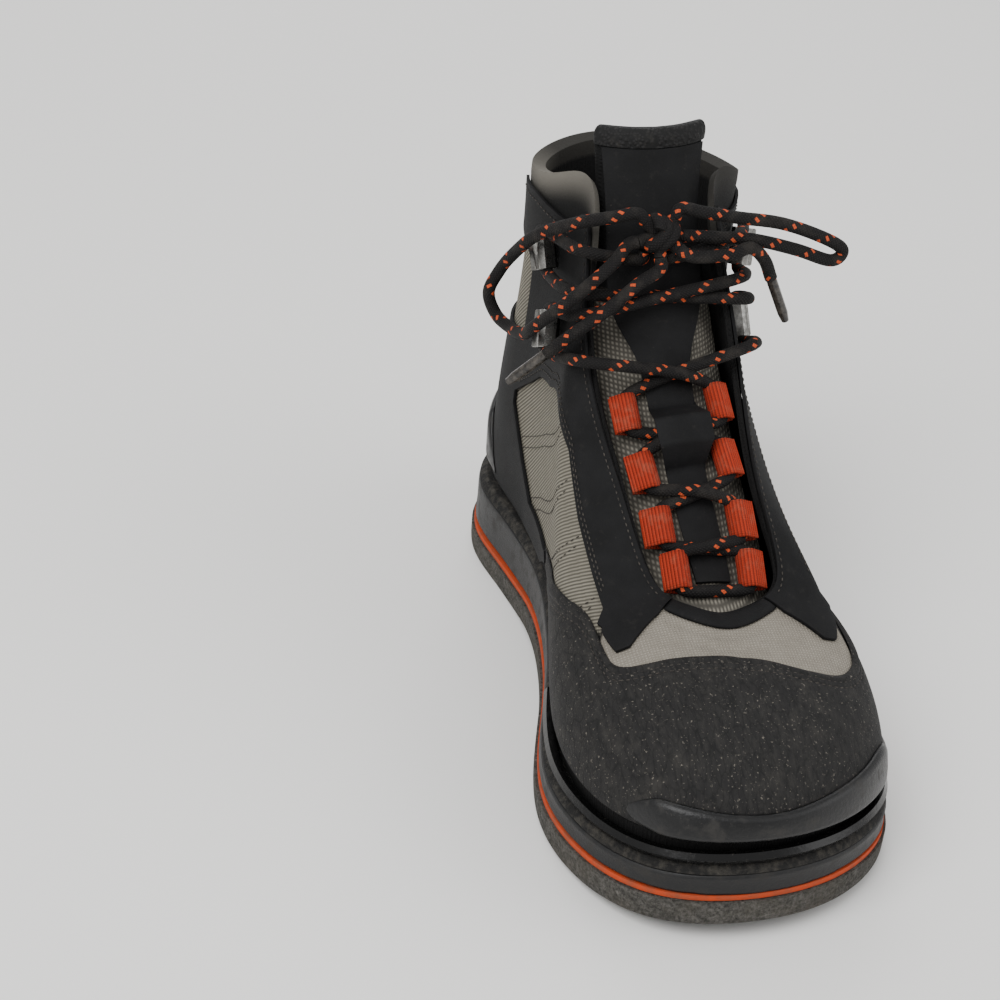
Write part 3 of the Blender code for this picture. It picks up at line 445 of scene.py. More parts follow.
def throat_line(place):
    """Middle of the throat, its level direction across and the gap between its edges."""
    place = np.asarray(place, float)
    held = np.clip(place, 0.0, 1.0)
    inner = CURVES["top"].at(TURN["toe_side_inner"] + THROAT_TURNS * held)
    outer = CURVES["top"].at(TURN["toe_side_outer"] - THROAT_TURNS * held)
    gap = np.linalg.norm(outer - inner, axis=-1, keepdims=True)
    middle = (inner + outer) / 2
    below = np.minimum(place, 0.0)[..., None]
    above = np.maximum(place - 1.0, 0.0)[..., None] / (TONGUE_ROWS[-1][1] - 1.0)
    return middle + below * LINE_BELOW + above * LINE_ABOVE, (outer - inner) / gap, gap


def tongue_face(place, side, depth=0.0):
    """Point of the tongue's front: side runs from -1 on the inner edge to 1 on the outer one."""
    place, side = np.broadcast_arrays(np.asarray(place, float), np.asarray(side, float))
    small = 0.02
    middle, across, gap = throat_line(place)
    climb = unit(throat_line(place + small)[0] - throat_line(place - small)[0])
    front = unit(np.cross(across, climb))
    front = np.where(front[..., 1:2] > 0, -front, front)
    half = gap * tongue_half(place)[..., None]
    off = (tongue_front(place) - tongue_drop(place) * side ** 2) * THROAT_WIDTH
    lean = 2 * (tongue_drop(place) * side * THROAT_WIDTH)[..., None] / half
    normal = unit(front + across * lean)
    depth = np.asarray(depth)[..., None]
    return middle + across * half * side[..., None] + front * off[..., None] - normal * depth


print("throat's base is", round(float(throat_line(0.0)[2][0]) * 1000, 1), "mm wide")

# %% [markdown]
# ## Edges and fittings
# Every overlay on the upper ends at an edge, and the photograph shows each edge as a line on the
# wall. Such a line is written as a short table of turns and shares. The loops and hooks get frames
# instead: a root, and three directions that follow the throat's edge there, so the lace can be
# threaded through them later.

# %% Edges of the overlays
# Edges of the overlays on the upper: each row is a turn and the share of the wall's height there.
# The turns run from the outer side over the toe to the inner side, and past 18 round the heel.
RAND_TOP = table([
    (4.60, .060), (5.50, .300), (6.30, .460), (6.84, .500), (7.52, .569), (8.04, .688), (8.58, .788),
    (9.28, .812), (9.90, .763), (10.28, .688), (10.76, .600), (11.02, .581), (11.20, .594),
    (11.36, .619), (11.70, .575), (12.20, .456), (13.00, .250), (13.64, .110),
], "share")
RAND_LOW = table([(4.60, .030), (5.10, .100), (13.00, .100), (13.64, .050)], "share")
BUMPER_TOP = table([
    (6.90, .190), (7.24, .263), (7.86, .244), (8.32, .225), (8.80, .200), (9.28, .206),
    (9.86, .231), (10.28, .238), (10.45, .190),
], "share")
COUNTER_TOP = table([
    (15.70, .050), (15.95, .110), (16.25, .190), (17.00, .240), (18.00, .270), (19.00, .240),
    (19.75, .190), (20.05, .110), (20.30, .050),
], "share")

# Edges of the quarter on the inner side, from the vamp to the back seam. The quarter is one piece
# with the eyestay: it frames the side panel between the rows panel_low and panel_high, and leaves
# the ankle panel open between ankle_low and ankle_high. The outer side mirrors it.
VAMP_EDGE = table([(10.44, .890), (10.67, .700), (10.90, .640), (11.33, .630), (13.9, .020)], "share")
PANEL_LOW = table([
    (10.44, .915), (10.67, .760), (11.33, .640), (11.70, .590), (12.20, .471), (13.00, .265), (13.67, .110),
    (14.44, .110), (14.84, .188), (15.34, .330),
], "share")
PANEL_HIGH = table([
    (10.44, .935), (10.67, .820), (11.33, .690), (12.20, .695), (12.64, .735), (13.20, .640), (14.00, .500),
    (14.56, .480), (15.34, .360),
], "share")
ANKLE_LOW = table([(10.44, .955), (11.33, .850), (13.00, .820), (14.56, .620), (15.34, .540)], "share")
ANKLE_HIGH = table([(10.44, .970), (11.33, .930), (13.00, .900), (15.34, .770), (16.00, .830)], "share")
QUARTER_TOP = table([
    (10.44, .985), (13.56, .985), (14.40, .890), (14.72, .906), (15.36, .950), (16.00, .965),
], "share")
QUARTER_START = 10.44
PANEL_START = 11.33
PANEL_END = 15.33
LOWER_EDGE_START = 13.6
ANKLE_START = 15.33
ANKLE_END = 16.0
SEAM_GAP = 0.012
print("quarter from turn", QUARTER_START, "to", COUNT)

# %% Loops, hooks and strands
# Places of the webbing loops up the throat, and of the hooks on the inner side as turn and share.
LOOP_PLACES = {"1": 0.49, "2": 0.36, "3": 0.21, "4": 0.05}
HOOK_PLACES = {"lower": (14.0, .656), "upper": (14.66, .825)}
LOOP_INSIDE = LACE_DIAMETER / 2 + 0.0005
LOOP_SEAT = 0.0016
SIDES = {"inner": -1, "outer": 1}
# Step up the throat that measures its edge, and where the edge is probed across a loop, in widths.
EDGE_STEP = 0.02
LOOP_PROBES = np.linspace(-0.7, 0.7, 9)


def edge_turn(place, side):
    """Turn of the throat's edge at a place up the throat."""
    turn = TURN["toe_side_inner"] + THROAT_TURNS * place
    return turn if side < 0 else COUNT - turn


def loop_frame(place, side):
    """Root, free start and length of a loop; its directions along, off the tongue and up the throat."""
    turn = edge_turn(place, side)
    root = lifted(turn, 1.0, -WALL / 2)
    gap = throat_line(place)[2][0]
    middle_reach = WEBBING_REACH - LOOP_INSIDE - WEBBING_THICK
    over = (gap / 2 - middle_reach) / (gap * tongue_half(place))
    fold = tongue_face(place, side * over, -(LOOP_INSIDE + WEBBING_THICK + LOOP_SEAT))
    run = fold - root
    climb = wall(turn - side * 0.05, 1.0) - wall(turn + side * 0.05, 1.0)
    climb = unit(climb - run * np.dot(climb, run) / np.dot(run, run))
    run_length = np.linalg.norm(run)
    run = run / run_length
    off = np.cross(run, climb) * -side
    up_edge = wall(edge_turn(place + EDGE_STEP, side), 1.0) - wall(edge_turn(place, side), 1.0)
    span = np.linalg.norm(up_edge) / EDGE_STEP
    beside = edge_turn(place + LOOP_PROBES * WEBBING_WIDTH / span, side)
    edge = np.concatenate([wall(beside, 1.0), lifted(beside, 1.0, np.full_like(beside, -WALL))])
    start = max(0.0, np.max((edge - root) @ run)) + 3 * CLEAR
    return root, start, run_length, run, off, climb


def hook_frame(name, side):
    """Seat of a hook on the overlay, and the directions to the throat, out, and up the throat."""
    turn, share = HOOK_PLACES[name]
    turn = turn if side < 0 else COUNT - turn
    seat = lifted(turn, share, LAYER_CLEAR + OVERLAY + 3 * CLEAR)
    out = wall_normal(np.array([turn]), np.array([share]))[0]
    edge = CURVES["top"].at(edge_turn(0.95, side)) - CURVES["top"].at(edge_turn(0.6, side))
    climb = unit(edge - out * np.dot(edge, out))
    toward = np.cross(climb, out) * -side
    return seat, toward, out, climb


LACE_SEAT = LACE_DIAMETER / 2 + 0.0016
LACE_OVER = LAYER_CLEAR + OVERLAY + LACE_SEAT
CROSS_HEIGHT = TONGUE_CLEAR + OVERLAY + LACE_SEAT
KNOT_CENTRE = np.array([-0.0050, 0.0350, 0.1830])
LACE_ENDS = {"inner": (-0.0103, 0.0354, 0.1760), "outer": (-0.0002, 0.0363, 0.1758)}


def round_edge(place, side):
    """Where a strand passes in front of the throat's edge."""
    edge = lifted(edge_turn(place, side), 0.99, LACE_OVER)
    front = tongue_face(place, 0.0, -1.0) - tongue_face(place, 0.0, 0.0)
    return edge + front * LACE_SEAT


def middle_of(place):
    """Where two strands cross in front of the tongue."""
    return tongue_face(place, 0.0, -CROSS_HEIGHT)


def leave_knot(point):
    """Two points on the straight way out of the knot through a point of the route."""
    way = unit(np.array(point) - KNOT_CENTRE)
    return [KNOT_CENTRE + way * far
            for far in (KNOT_RADIUS + CLEAR, KNOT_RADIUS + 0.9 * LACE_DIAMETER)]


print("loops up the throat:", *LOOP_PLACES.values())

# %% [markdown]
# ## The free lace
# A lace is a fixed length of braided cord, so its route comes first and its thickness after. The
# route is a short list of given points, joined by a smooth curve; a tube is then swept along it.
# The tube starts as a flat grid whose rows become rings, which leaves a tidy UV map: one way round
# the cord, one way along it, both in metres, ready for the braid's pattern.

# %% Routes of the cords
# Routes of the free lace, in metres: two bow loops and two ends that leave the knot.
CORDS = {
    "bow_inner": [
        (-.0116, .0359, .1887), (-.0230, .0370, .1900), (-.0360, .0440, .1845), (-.0468, .0586, .1732),
        (-.0520, .0735, .1580), (-.0560, .0795, .1470), (-.0595, .0780, .1390), (-.0565, .0740, .1310),
        (-.0530, .0620, .1310), (-.0520, .0460, .1370), (-.0500, .0330, .1480), (-.0400, .0225, .1640),
        (-.0250, .0280, .1745), (-.0134, .0350, .1804)],
    "bow_outer": [
        (.0003, .0359, .1900), (.0110, .0340, .1925), (.0250, .0340, .1900), (.0430, .0340, .1872),
        (.0610, .0350, .1805), (.0705, .0360, .1745), (.0660, .0350, .1705), (.0500, .0330, .1765),
        (.0320, .0320, .1815), (.0170, .0335, .1822), (.0036, .0359, .1821)],
    "end_inner": [
        (-.0054, .0306, .1754), (-.0150, .0240, .1680), (-.0290, .0190, .1590), (-.0400, .0220, .1480),
        (-.0475, .0270, .1380)],
    "end_outer": [
        (.0016, .0306, .1792), (.0100, .0262, .1775), (.0210, .0250, .1790), (.0290, .0270, .1805),
        (.0360, .0290, .1745), (.0403, .0300, .1660)],
}


def smooth_route(points, parts):
    """Points read from a smooth curve through a route's own points, so many between each two."""
    points = np.asarray(points, float)
    padded = np.vstack([2 * points[0] - points[1], points, 2 * points[-1] - points[-2]])
    route = []
    for before, here, after, beyond in zip(padded, padded[1:], padded[2:], padded[3:]):
        for share in np.arange(parts) / parts:
            bend = (2 * before - 5 * here + 4 * after - beyond) * share ** 2
            twist = (-before + 3 * here - 3 * after + beyond) * share ** 3
            route.append(here + 0.5 * ((after - before) * share + bend + twist))
    return np.array([*route, points[-1]])


print("cord routes:", *CORDS)

# %% [markdown]
# ## Starting and finishing a piece
# Leather, cloth, tape and the skin of a cord are all sheets. Each starts here as a flat grid, whose
# two ways are counted from 0 to 1, and is bent to its shape by moving the vertices. The faces stay
# four-sided and in tidy rows that way. A finished piece is shaded smooth with its sharp edges kept,
# gets one material, and hides the plain solids it stands for.

# %% Start, finish and dress a piece
def flat_grid(across, up, **settings):
    """A bmesh with a grid, and how far each vertex lies across and up it, from 0 to 1."""
    build = bmesh.new()
    bmesh.ops.create_grid(build, x_segments=across, y_segments=up, size=0.5, **settings)
    flat = np.array([vert.co for vert in build.verts])
    return build, flat[:, 0] + 0.5, flat[:, 1] + 0.5


def shape_grid(build, points):
    """Move each vertex to its point."""
    for vert, point in zip(build.verts, points):
        vert.co = point


def write_uv(build, first, second):
    """Give every corner of every face the two numbers of its vertex."""
    build.verts.index_update()
    uv_map = build.loops.layers.uv.verify()
    for face in build.faces:
        for corner in face.loops:
            corner[uv_map].uv = (first[corner.vert.index], second[corner.vert.index])


def finish_piece(name, build, sharp=40.0):
    """Turn a bmesh into a smooth shaded object at the origin."""
    bmesh.ops.recalc_face_normals(build, faces=build.faces[:])
    mesh = bpy.data.meshes.new(name)
    build.to_mesh(mesh)
    build.free()
    mesh.shade_smooth()
    mesh.set_sharp_from_angle(angle=math.radians(sharp))
    piece = bpy.data.objects.new(name, mesh)
    bpy.context.scene.collection.objects.link(piece)
    return piece


def dress(piece, shade, slot, *nodes):
    """Give a piece its material; slot is not used. The piece rides on the boot and hides the nodes it
    stands for.
    """
    piece.data.materials.clear()
    piece.data.materials.append(shade)
    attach(piece, "root")
    if nodes:
        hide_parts(*nodes)
    return piece


def thicken(piece, thickness, offset=0.0):
    """Give a sheet its thickness, half on each side unless offset says otherwise."""
    sheet = piece.modifiers.new("thickness", "SOLIDIFY")
    sheet.thickness = thickness
    sheet.offset = offset


def subdivide(piece, levels):
    """Round a piece, with the same levels in the view and in the render."""
    rounder = piece.modifiers.new("round", "SUBSURF")
    rounder.levels = levels
    rounder.render_levels = levels


print("grid, finishing and dressing helpers ready")

# %% [markdown]
# ## Sweeping a tube
# A curve object with a bevel would draw a cord too, but without a UV map along it. Here each row of
# a grid becomes a ring across the route. From ring to ring the first spoke is carried along with as
# little twist as possible, so the braid doesn't wind up where the cord bends.

# %% Sweep a tube along a route
# A direction that no cord runs along, to start the first ring from
ANY_WAY = (0.31, 0.47, 0.83)


def tube_mesh(name, points, radius, sides=16, taper=None):
    """Closed tube with a UV map in metres: u round the cord, v along it."""
    points = np.asarray(points, float)
    run = unit(np.gradient(points, axis=0))
    aside = np.zeros_like(run)
    aside[0] = unit(np.cross(run[0], ANY_WAY))
    for here in range(1, len(run)):
        before = aside[here - 1]
        aside[here] = unit(before - run[here] * np.dot(run[here], before))
    third = np.cross(run, aside)
    width = np.full(len(points), radius) if taper is None else radius * taper
    build, turn, part = flat_grid(sides, len(points) - 1, calc_uvs=True)
    ring = np.round(part * (len(points) - 1)).astype(int)
    angle = (2 * math.pi * turn)[:, None]
    spoke = aside[ring] * np.cos(angle) + third[ring] * np.sin(angle)
    shape_grid(build, points[ring] + spoke * width[ring, None])
    write_uv(build, turn * 2 * math.pi * radius, distances(points)[ring])
    bmesh.ops.remove_doubles(build, verts=build.verts[:], dist=1e-6)
    bmesh.ops.holes_fill(build, edges=build.edges[:], sides=0)
    return finish_piece(name, build)


print("tube helper ready")

# %% [markdown]
# ## Lace and tips
# A round boot lace is a braid of polyester yarns over a core. Two sets of yarns wind round it, one
# each way, so its relief is the product of two slanted waves on the cord's own UV map. The orange
# flecks are two yarns of another colour that come up in pairs once a turn. The tips are clear
# plastic sheaths, shrunk over the cord: smooth, with the cord's dark colour showing through.

# %% Lace and tip materials
# Widths in millimetres: one braid yarn, and a fleck along and across the yarns
BRAID_PITCH = 1.4
FLECK_PITCH = math.pi * LACE_DIAMETER * 1000
FLECK_WIDTH = FLECK_PITCH / 3


def lace_material():
    """Braided polyester cord, black with pairs of orange flecks: fine diagonal yarns, matt."""
    shade, tree, shader = start_material("braided_polyester_lace", 0.8, 0.25)
    where = add(tree, "ShaderNodeTexCoord", out="Object")
    cord_map = add(tree, "ShaderNodeTexCoord", out="UV")
    round_cord = add(tree, "ShaderNodeSeparateXYZ", {"Vector": cord_map})
    down_cord = add(tree, "ShaderNodeSeparateXYZ", {"Vector": cord_map}, 1)
    rising = add(tree, "ShaderNodeMath", {0: down_cord, 1: round_cord}, operation="ADD")
    falling = add(tree, "ShaderNodeMath", {0: down_cord, 1: round_cord}, operation="SUBTRACT")
    braid = add(tree, "ShaderNodeMath", {
        0: ribs(tree, rising, BRAID_PITCH), 1: ribs(tree, falling, BRAID_PITCH)}, operation="MULTIPLY")
    along_fleck = add(tree, "ShaderNodeMapRange", {
        "Value": ribs(tree, rising, FLECK_PITCH), "From Min": 0.90, "From Max": 0.93})
    across_fleck = add(tree, "ShaderNodeMapRange", {
        "Value": ribs(tree, falling, FLECK_WIDTH), "From Min": 0.72, "From Max": 0.80})
    fleck = add(tree, "ShaderNodeMath", {0: along_fleck, 1: across_fleck}, operation="MULTIPLY")
    colour = layer(tree, braid, "0c0b0b", "1f1c1b")
    colour = layer(tree, cloud(tree, where, 9.0, 0.5, 0.8), colour, "4b4640", 0.35)
    colour = layer(tree, fleck, colour, "c2502a", 0.95)
    wire(tree, shader, colour, [(braid, 0.35)])
    return shade


def tip_material():
    """Clear acetate sheath over the cord: smoky, smooth and glossy."""
    shade, tree, shader = start_material("clear_acetate_tip", 0.22, 0.5, IOR=1.47)
    where = add(tree, "ShaderNodeTexCoord", out="Object")
    streak = cloud(tree, where, 2.2, 0.35, 0.7)
    wire(tree, shader, layer(tree, streak, "141211", "4c4741"), [(streak, 0.03)])
    return shade


LACE = lace_material()
TIP = tip_material()
print("materials:", LACE.name, TIP.name)

# %% [markdown]
# ## Bow, tips and knot
# The bow hangs free, so the photograph alone decides its shape. Each loop and end leaves the knot
# straight and then follows its route. The tip is a shorter, thinner tube in line with the cord's
# end, narrowed to a blunt point. A real bow knot is two loops pulled through a turn; only its wound
# outside shows, so a few turns of cord stand for it, with short strands that join the ends to it.

# %% Bow loops and ends
CORD_PARTS = 10
cords = {}
for name, points in CORDS.items():
    points = [*leave_knot(points[0]), *map(np.array, points[1:])]
    if name.startswith("bow"):
        points = [*points[:-1], *leave_knot(points[-1])[::-1]]
    route = smooth_route(points, CORD_PARTS)
    piece = dress(tube_mesh(name + "_lace", route, LACE_DIAMETER / 2), LACE, "round_lace", name)
    cords[name] = (piece, route)
    print(name, "is", round(distances(route)[-1] * 1000), "mm long")

# %% Clear tips
# A tip's rings, and its width at some of them as a share of its diameter
TIP_RINGS = 12
TIP_TAPER = np.interp(np.arange(TIP_RINGS), [0, 1, 9, 11], [0.96, 1.0, 0.97, 0.7])
for name in ("end_inner", "end_outer"):
    route = cords[name][1]
    node = name.replace("end", "tip")
    far = np.linspace(CLEAR, TIP_LENGTH, TIP_RINGS)[:, None]
    line = route[-1] + unit(route[-1] - route[-2]) * far
    tip = tube_mesh(node + "_sheath", line, TIP_DIAMETER / 2, taper=TIP_TAPER)
    dress(tip, TIP, "clear_tip", node)

# %% Knot
KNOT_TURNS = 2.6
KNOT_START = 0.6
KNOT_WIDTH = KNOT_RADIUS * 0.62
KNOT_DEPTH = 0.85
KNOT_LENGTH = KNOT_RADIUS * 0.9
KNOT_SWAY = 0.0012
KNOT_TILT = Matrix.Rotation(math.radians(-18), 3, "Y")


def make_knot():
    """The bow's knot: a few turns of the cord wound tightly round each other."""
    share = np.linspace(0, 1, 90)
    angle = 2 * math.pi * KNOT_TURNS * share + KNOT_START
    rise = (share - 0.5) * KNOT_LENGTH
    route = np.stack([rise + KNOT_SWAY * np.sin(angle * 2), -np.cos(angle) * KNOT_WIDTH * KNOT_DEPTH,
                      np.sin(angle) * KNOT_WIDTH], 1)
    route = route @ np.array(KNOT_TILT)
    strands = [tube_mesh("knot_wrap", KNOT_CENTRE + route, LACE_DIAMETER / 2)]
    exits = [(points[0], points[-1]) if name.startswith("bow") else (points[0],)
             for name, points in CORDS.items()]
    for place in (place for pair in exits for place in pair):
        start = leave_knot(place)[0]
        inside = KNOT_CENTRE + (start - KNOT_CENTRE) * np.linspace(0.25, 0.985, 6)[:, None]
        strands.append(tube_mesh("knot_strand", inside, LACE_DIAMETER / 2))
    build = bmesh.new()
    for strand in strands:
        build.from_mesh(strand.data)
        bpy.data.objects.remove(strand)
    return finish_piece("knot_lace", build)


knot = dress(make_knot(), LACE, "round_lace", "knot")
print("cords:", len(cords))

# %% [markdown]
# ## The lace in the throat
# In the throat the lace is held all the way, so its route is not free: it runs through the fold of
# each webbing loop, crosses to the other side, and goes round the hooks. Each loop and hook has a
# frame of its own, so the route is built from those frames. One half crosses in front, the other
# behind it.

# %% Half of the lace
# How far a half lies before or behind the crossings' middle, how far it runs along a fold, and how
# far past a hook it stays straight
LACE_FRONT = LACE_DIAMETER * 0.47
LACE_BEHIND = -LACE_FRONT * 0.75
FOLD_SPREAD = WEBBING_WIDTH * 0.47
FOLD_SLACK = 0.0004
HOOK_SEAT = HOOK_WIDTH * 0.16
HOOK_REACH = HOOK_HEIGHT / 2 + 0.001
# Places up the throat: above the last loop, of the crossing between the hooks, and where a strand
# passes the throat's edge below and above each hook
HOOKS_START = 0.62
HOOK_CROSSING = 0.71
HOOK_EDGES = {"lower": (0.60, 0.69), "upper": (0.735, 0.82)}


def throat_route(first, lift):
    """Route of one half, from its lowest loop up to the knot."""
    side = first
    route = []
    places = [*list(LOOP_PLACES.values())[::-1], HOOKS_START]
    for place, after in zip(places, places[1:]):
        root, _, run_length, run, off, climb = loop_frame(place, side)
        fold = root + run * (run_length + FOLD_SLACK)
        route += [fold - climb * FOLD_SPREAD, fold, fold + climb * FOLD_SPREAD]
        route.append(tongue_face((place + after) / 2, 0.0, -(CROSS_HEIGHT + lift)))
        side = -side
    for height, (edge_low, edge_high) in HOOK_EDGES.items():
        seat, toward, out, climb = hook_frame(height, side)
        back = seat + out * (HOOK_THICK + CLEAR + LACE_DIAMETER / 2) - toward * HOOK_SEAT
        route += [round_edge(edge_low, side), back - climb * HOOK_REACH, back,
                  back + climb * HOOK_REACH, round_edge(edge_high, side)]
        if height == "lower":
            route.append(tongue_face(HOOK_CROSSING, 0.0, -(CROSS_HEIGHT + lift)))
            side = -side
    name = "inner" if side < 0 else "outer"
    route += leave_knot(LACE_ENDS[name])[::-1]
    return route


front_half = throat_route(-1, LACE_FRONT)
back_half = throat_route(1, LACE_BEHIND)
bar = (front_half[0] + back_half[0]) / 2 + (middle_of(-0.05) - middle_of(0.02)) * 0.35
lace_nodes = [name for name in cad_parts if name.startswith("lace_")]
lace_route = smooth_route([*back_half[::-1], bar, *front_half], 6)
dress(tube_mesh("throat_lace", lace_route, LACE_DIAMETER / 2 * 0.96, sides=14),
      LACE, "round_lace", *lace_nodes)
print("throat lace:", round(distances(lace_route)[-1] * 1000), "mm")

# %% [markdown]
# ## The sole's materials
# The sole is a stack: a slab of pressed wool-like felt, a thin coloured foam layer, a smooth black
# midsole, a rough dusty welt and a glossy rubber bead. Each is matched to what it is made of. Felt
# has no gloss and a fibrous relief about a millimetre coarse; moulded rubber has a dielectric's
# sheen with a roughness near 0.4, and dust in every hollow.

# %% Felt
def felt_material():
    """Pressed fibre felt: matt grey, flecked with fibres, muddy in broad patches."""
    shade, tree, shader = start_material("pressed_fibre_felt", 0.97, 0.2)
    where = add(tree, "ShaderNodeTexCoord", out="Object")
    fibres = cloud(tree, where, 1.3, 0.36, 0.66, 8.0, 0.75)
    clumps = cloud(tree, where, 4.5, 0.40, 0.66, 6.0, 0.65)
    colour = layer(tree, fibres, "2b2a28", "7d7a74")
    colour = layer(tree, clumps, colour, "3d3b37", 0.5)
    colour = layer(tree, cloud(tree, where, 20.0, 0.45, 0.7), colour, "5c564c", 0.5)
    wire(tree, shader, colour, [(clumps, 1.0), (fibres, 0.8)])
    return shade


FELT = felt_material()
print("made:", FELT.name)

# %% Foam and rubber
def foam_material():
    """Orange foam layer: matt, rubbed and dusty in places."""
    shade, tree, shader = start_material("orange_foam_layer", 0.8, 0.3)
    where = add(tree, "ShaderNodeTexCoord", out="Object")
    dust = cloud(tree, where, 6.0, 0.45, 0.75)
    pores = cloud(tree, where, 0.9, 0.3, 0.7)
    wire(tree, shader, layer(tree, dust, "b8431d", "754a36", 0.8), [(pores, 0.15)])
    return shade


def rubber_material(name, roughness, colour, dust_colour, dust_from, grain_mm, grain_depth, patch_mm=7.0):
    """Moulded rubber: dark, with dust that gathers in patches and specks."""
    shade, tree, shader = start_material(name, roughness, 0.4)
    where = add(tree, "ShaderNodeTexCoord", out="Object")
    patches = cloud(tree, where, patch_mm, dust_from, dust_from + 0.32)
    specks = cloud(tree, where, 1.0, 0.66, 0.76, 2.0)
    painted = layer(tree, patches, colour, dust_colour, 0.7)
    painted = layer(tree, specks, painted, dust_colour, 0.5)
    dull = add(tree, "ShaderNodeMapRange", {"Value": patches, "To Min": roughness, "To Max": 0.85})
    wire(tree, shader, painted, [(cloud(tree, where, grain_mm, 0.3, 0.7), grain_depth)], dull)
    return shade


FOAM = foam_material()
MIDSOLE = rubber_material("black_midsole_rubber", 0.5, "0b0b0c", "34312d", 0.50, 0.9, 0.10)
WELT = rubber_material("dusty_welt_rubber", 0.85, "0f0e0d", "4a463f", 0.44, 1.7, 0.6, 3.2)
BEAD = rubber_material("glossy_bead_rubber", 0.20, "070707", "3b3833", 0.62, 2.2, 0.05)
BUMPER_SHINE = rubber_material("toe_bumper_rubber", 0.38, "0b0b0c", "3d3a36", 0.54, 1.3, 0.10)
print("sole materials ready")

# %% [markdown]
# ## Copying and smoothing a solid
# The frame's solids are faceted. A piece whose shape is already right is copied, its loose
# triangles are merged and joined back to four-sided faces, and a Subdivision Surface rounds it.
# Edges sharper than an angle are creased, so that a 1.3 mm overlay keeps its crisp cut edge.

# %% Smooth copy of a solid
# The widest turn between two triangles of one flat face, and the least turn of a sharp edge
FLAT_ANGLE = math.radians(25)
CREASE_ANGLE = math.radians(38)


def smooth_copy(node, name, levels=2, crease=1.0):
    """Rounded copy of a solid as a new object, with its sharp edges kept."""
    build = bmesh.new()
    build.from_mesh(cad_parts[node].data)
    bmesh.ops.remove_doubles(build, verts=build.verts[:], dist=1e-6)
    bmesh.ops.recalc_face_normals(build, faces=build.faces[:])
    bmesh.ops.join_triangles(build, faces=build.faces[:], angle_face_threshold=FLAT_ANGLE,
                             angle_shape_threshold=math.radians(60))
    edges = build.edges.layers.float
    mark = edges.get("crease_edge") or edges.new("crease_edge")
    for edge in build.edges:
        if len(edge.link_faces) == 2 and edge.calc_face_angle(0.0) > CREASE_ANGLE:
            edge[mark] = crease
    piece = finish_piece(name, build)
    subdivide(piece, levels)
    return piece


# Each node of the sole with its new name, subdivision levels, crease, material and slot
SOLE_PIECES = [
    ("outsole_felt", "felt_slab", 3, 1.0, FELT, "felt"),
    ("sole_line", "foam_layer", 2, 1.0, FOAM, "orange_foam"),
    ("midsole", "midsole_body", 2, 0.8, MIDSOLE, "sole_rubber"),
    ("welt", "welt_ledge", 2, 0.8, WELT, "sole_rubber"),
    ("bead", "bead_strip", 2, 1.0, BEAD, "moulded_rubber"),
]
for node, name, levels, crease, shade, slot in SOLE_PIECES:
    dress(smooth_copy(node, name, levels, crease), shade, slot, node)
print("sole pieces dressed:", len(SOLE_PIECES))

# %% [markdown]
# ## Nubuck
# Nubuck is leather sanded on its grain side. New, it is velvety and matt; worn wet on river stones
# it rubs to a hard, faintly shiny black, with dust in its scratches. The rand takes most of the
# wear, so it gets fine cracks across its height, pale specks and scuffed patches.

# %% Nubuck materials
def nubuck_material():
    """Sanded leather: matt black nap with a soft cloudiness and a few pale specks."""
    shade, tree, shader = start_material("black_nubuck", 0.72, 0.22)
    where = add(tree, "ShaderNodeTexCoord", out="Object")
    nap = cloud(tree, where, 0.8, 0.3, 0.7, 6.0, 0.7)
    colour = layer(tree, cloud(tree, where, 15.0, 0.35, 0.7), "09090a", "141415")
    colour = layer(tree, cloud(tree, where, 5.0, 0.58, 0.8, 7.0, 0.7), colour, "3a3733", 0.35)
    colour = layer(tree, cloud(tree, where, 1.1, 0.70, 0.78, 3.0), colour, "6d675e", 0.3)
    wire(tree, shader, colour, [(nap, 0.12)])
    return shade


def rand_material():
    """Nubuck rubbed hard by stones: charcoal, with fine cracks across it and pale specks."""
    shade, tree, shader = start_material("rubbed_rand_nubuck", 0.78, 0.3)
    where = add(tree, "ShaderNodeTexCoord", out="Object")
    tall = add(tree, "ShaderNodeMapping", {"Vector": where, "Scale": (1.0, 0.28, 0.28)})
    plates = add(tree, "ShaderNodeTexVoronoi", {"Vector": tall, "Scale": 1000 / 2.0},
                 feature="DISTANCE_TO_EDGE")
    cracks = add(tree, "ShaderNodeMapRange", {"Value": plates, "From Max": 0.10})
    streaks = cloud(tree, tall, 2.4, 0.45, 0.72, 6.0, 0.7)
    colour = layer(tree, cracks, "0c0c0c", "191818")
    colour = layer(tree, streaks, colour, "363431", 0.45)
    colour = layer(tree, cloud(tree, where, 9.0, 0.52, 0.8, 7.0, 0.72), colour, "45423d", 0.4)
    colour = layer(tree, cloud(tree, where, 1.0, 0.63, 0.72, 3.0), colour, "8f887d", 0.55)
    nap = cloud(tree, where, 0.7, 0.3, 0.7, 6.0, 0.7)
    wire(tree, shader, colour, [(cracks, 0.11), (streaks, 0.08), (nap, 0.12)])
    return shade


NUBUCK = nubuck_material()
RAND = rand_material()
dress(smooth_copy("tongue_overlay", "tongue_overlay_nubuck", 2), NUBUCK, "black_nubuck", "tongue_overlay")
print("nubuck ready")

# %% [markdown]
# ## Covers pressed over the wall
# The rand, the toe bumper, the heel counter and the throat's trim are sheets pressed over the
# upper. Each starts as a flat grid whose two ways become the turn and the share of the wall. Its
# height above the wall is a soft profile: full in the middle, rounded down along every edge. The
# rand also has a hem, a slight roll with the two sewn grooves that hold it down.

# %% Pressed covers
COVER_SKIN = 0.0004
COVER_COLUMNS = 30
HEM_ROLL = 0.0004
GROOVE = 0.00045
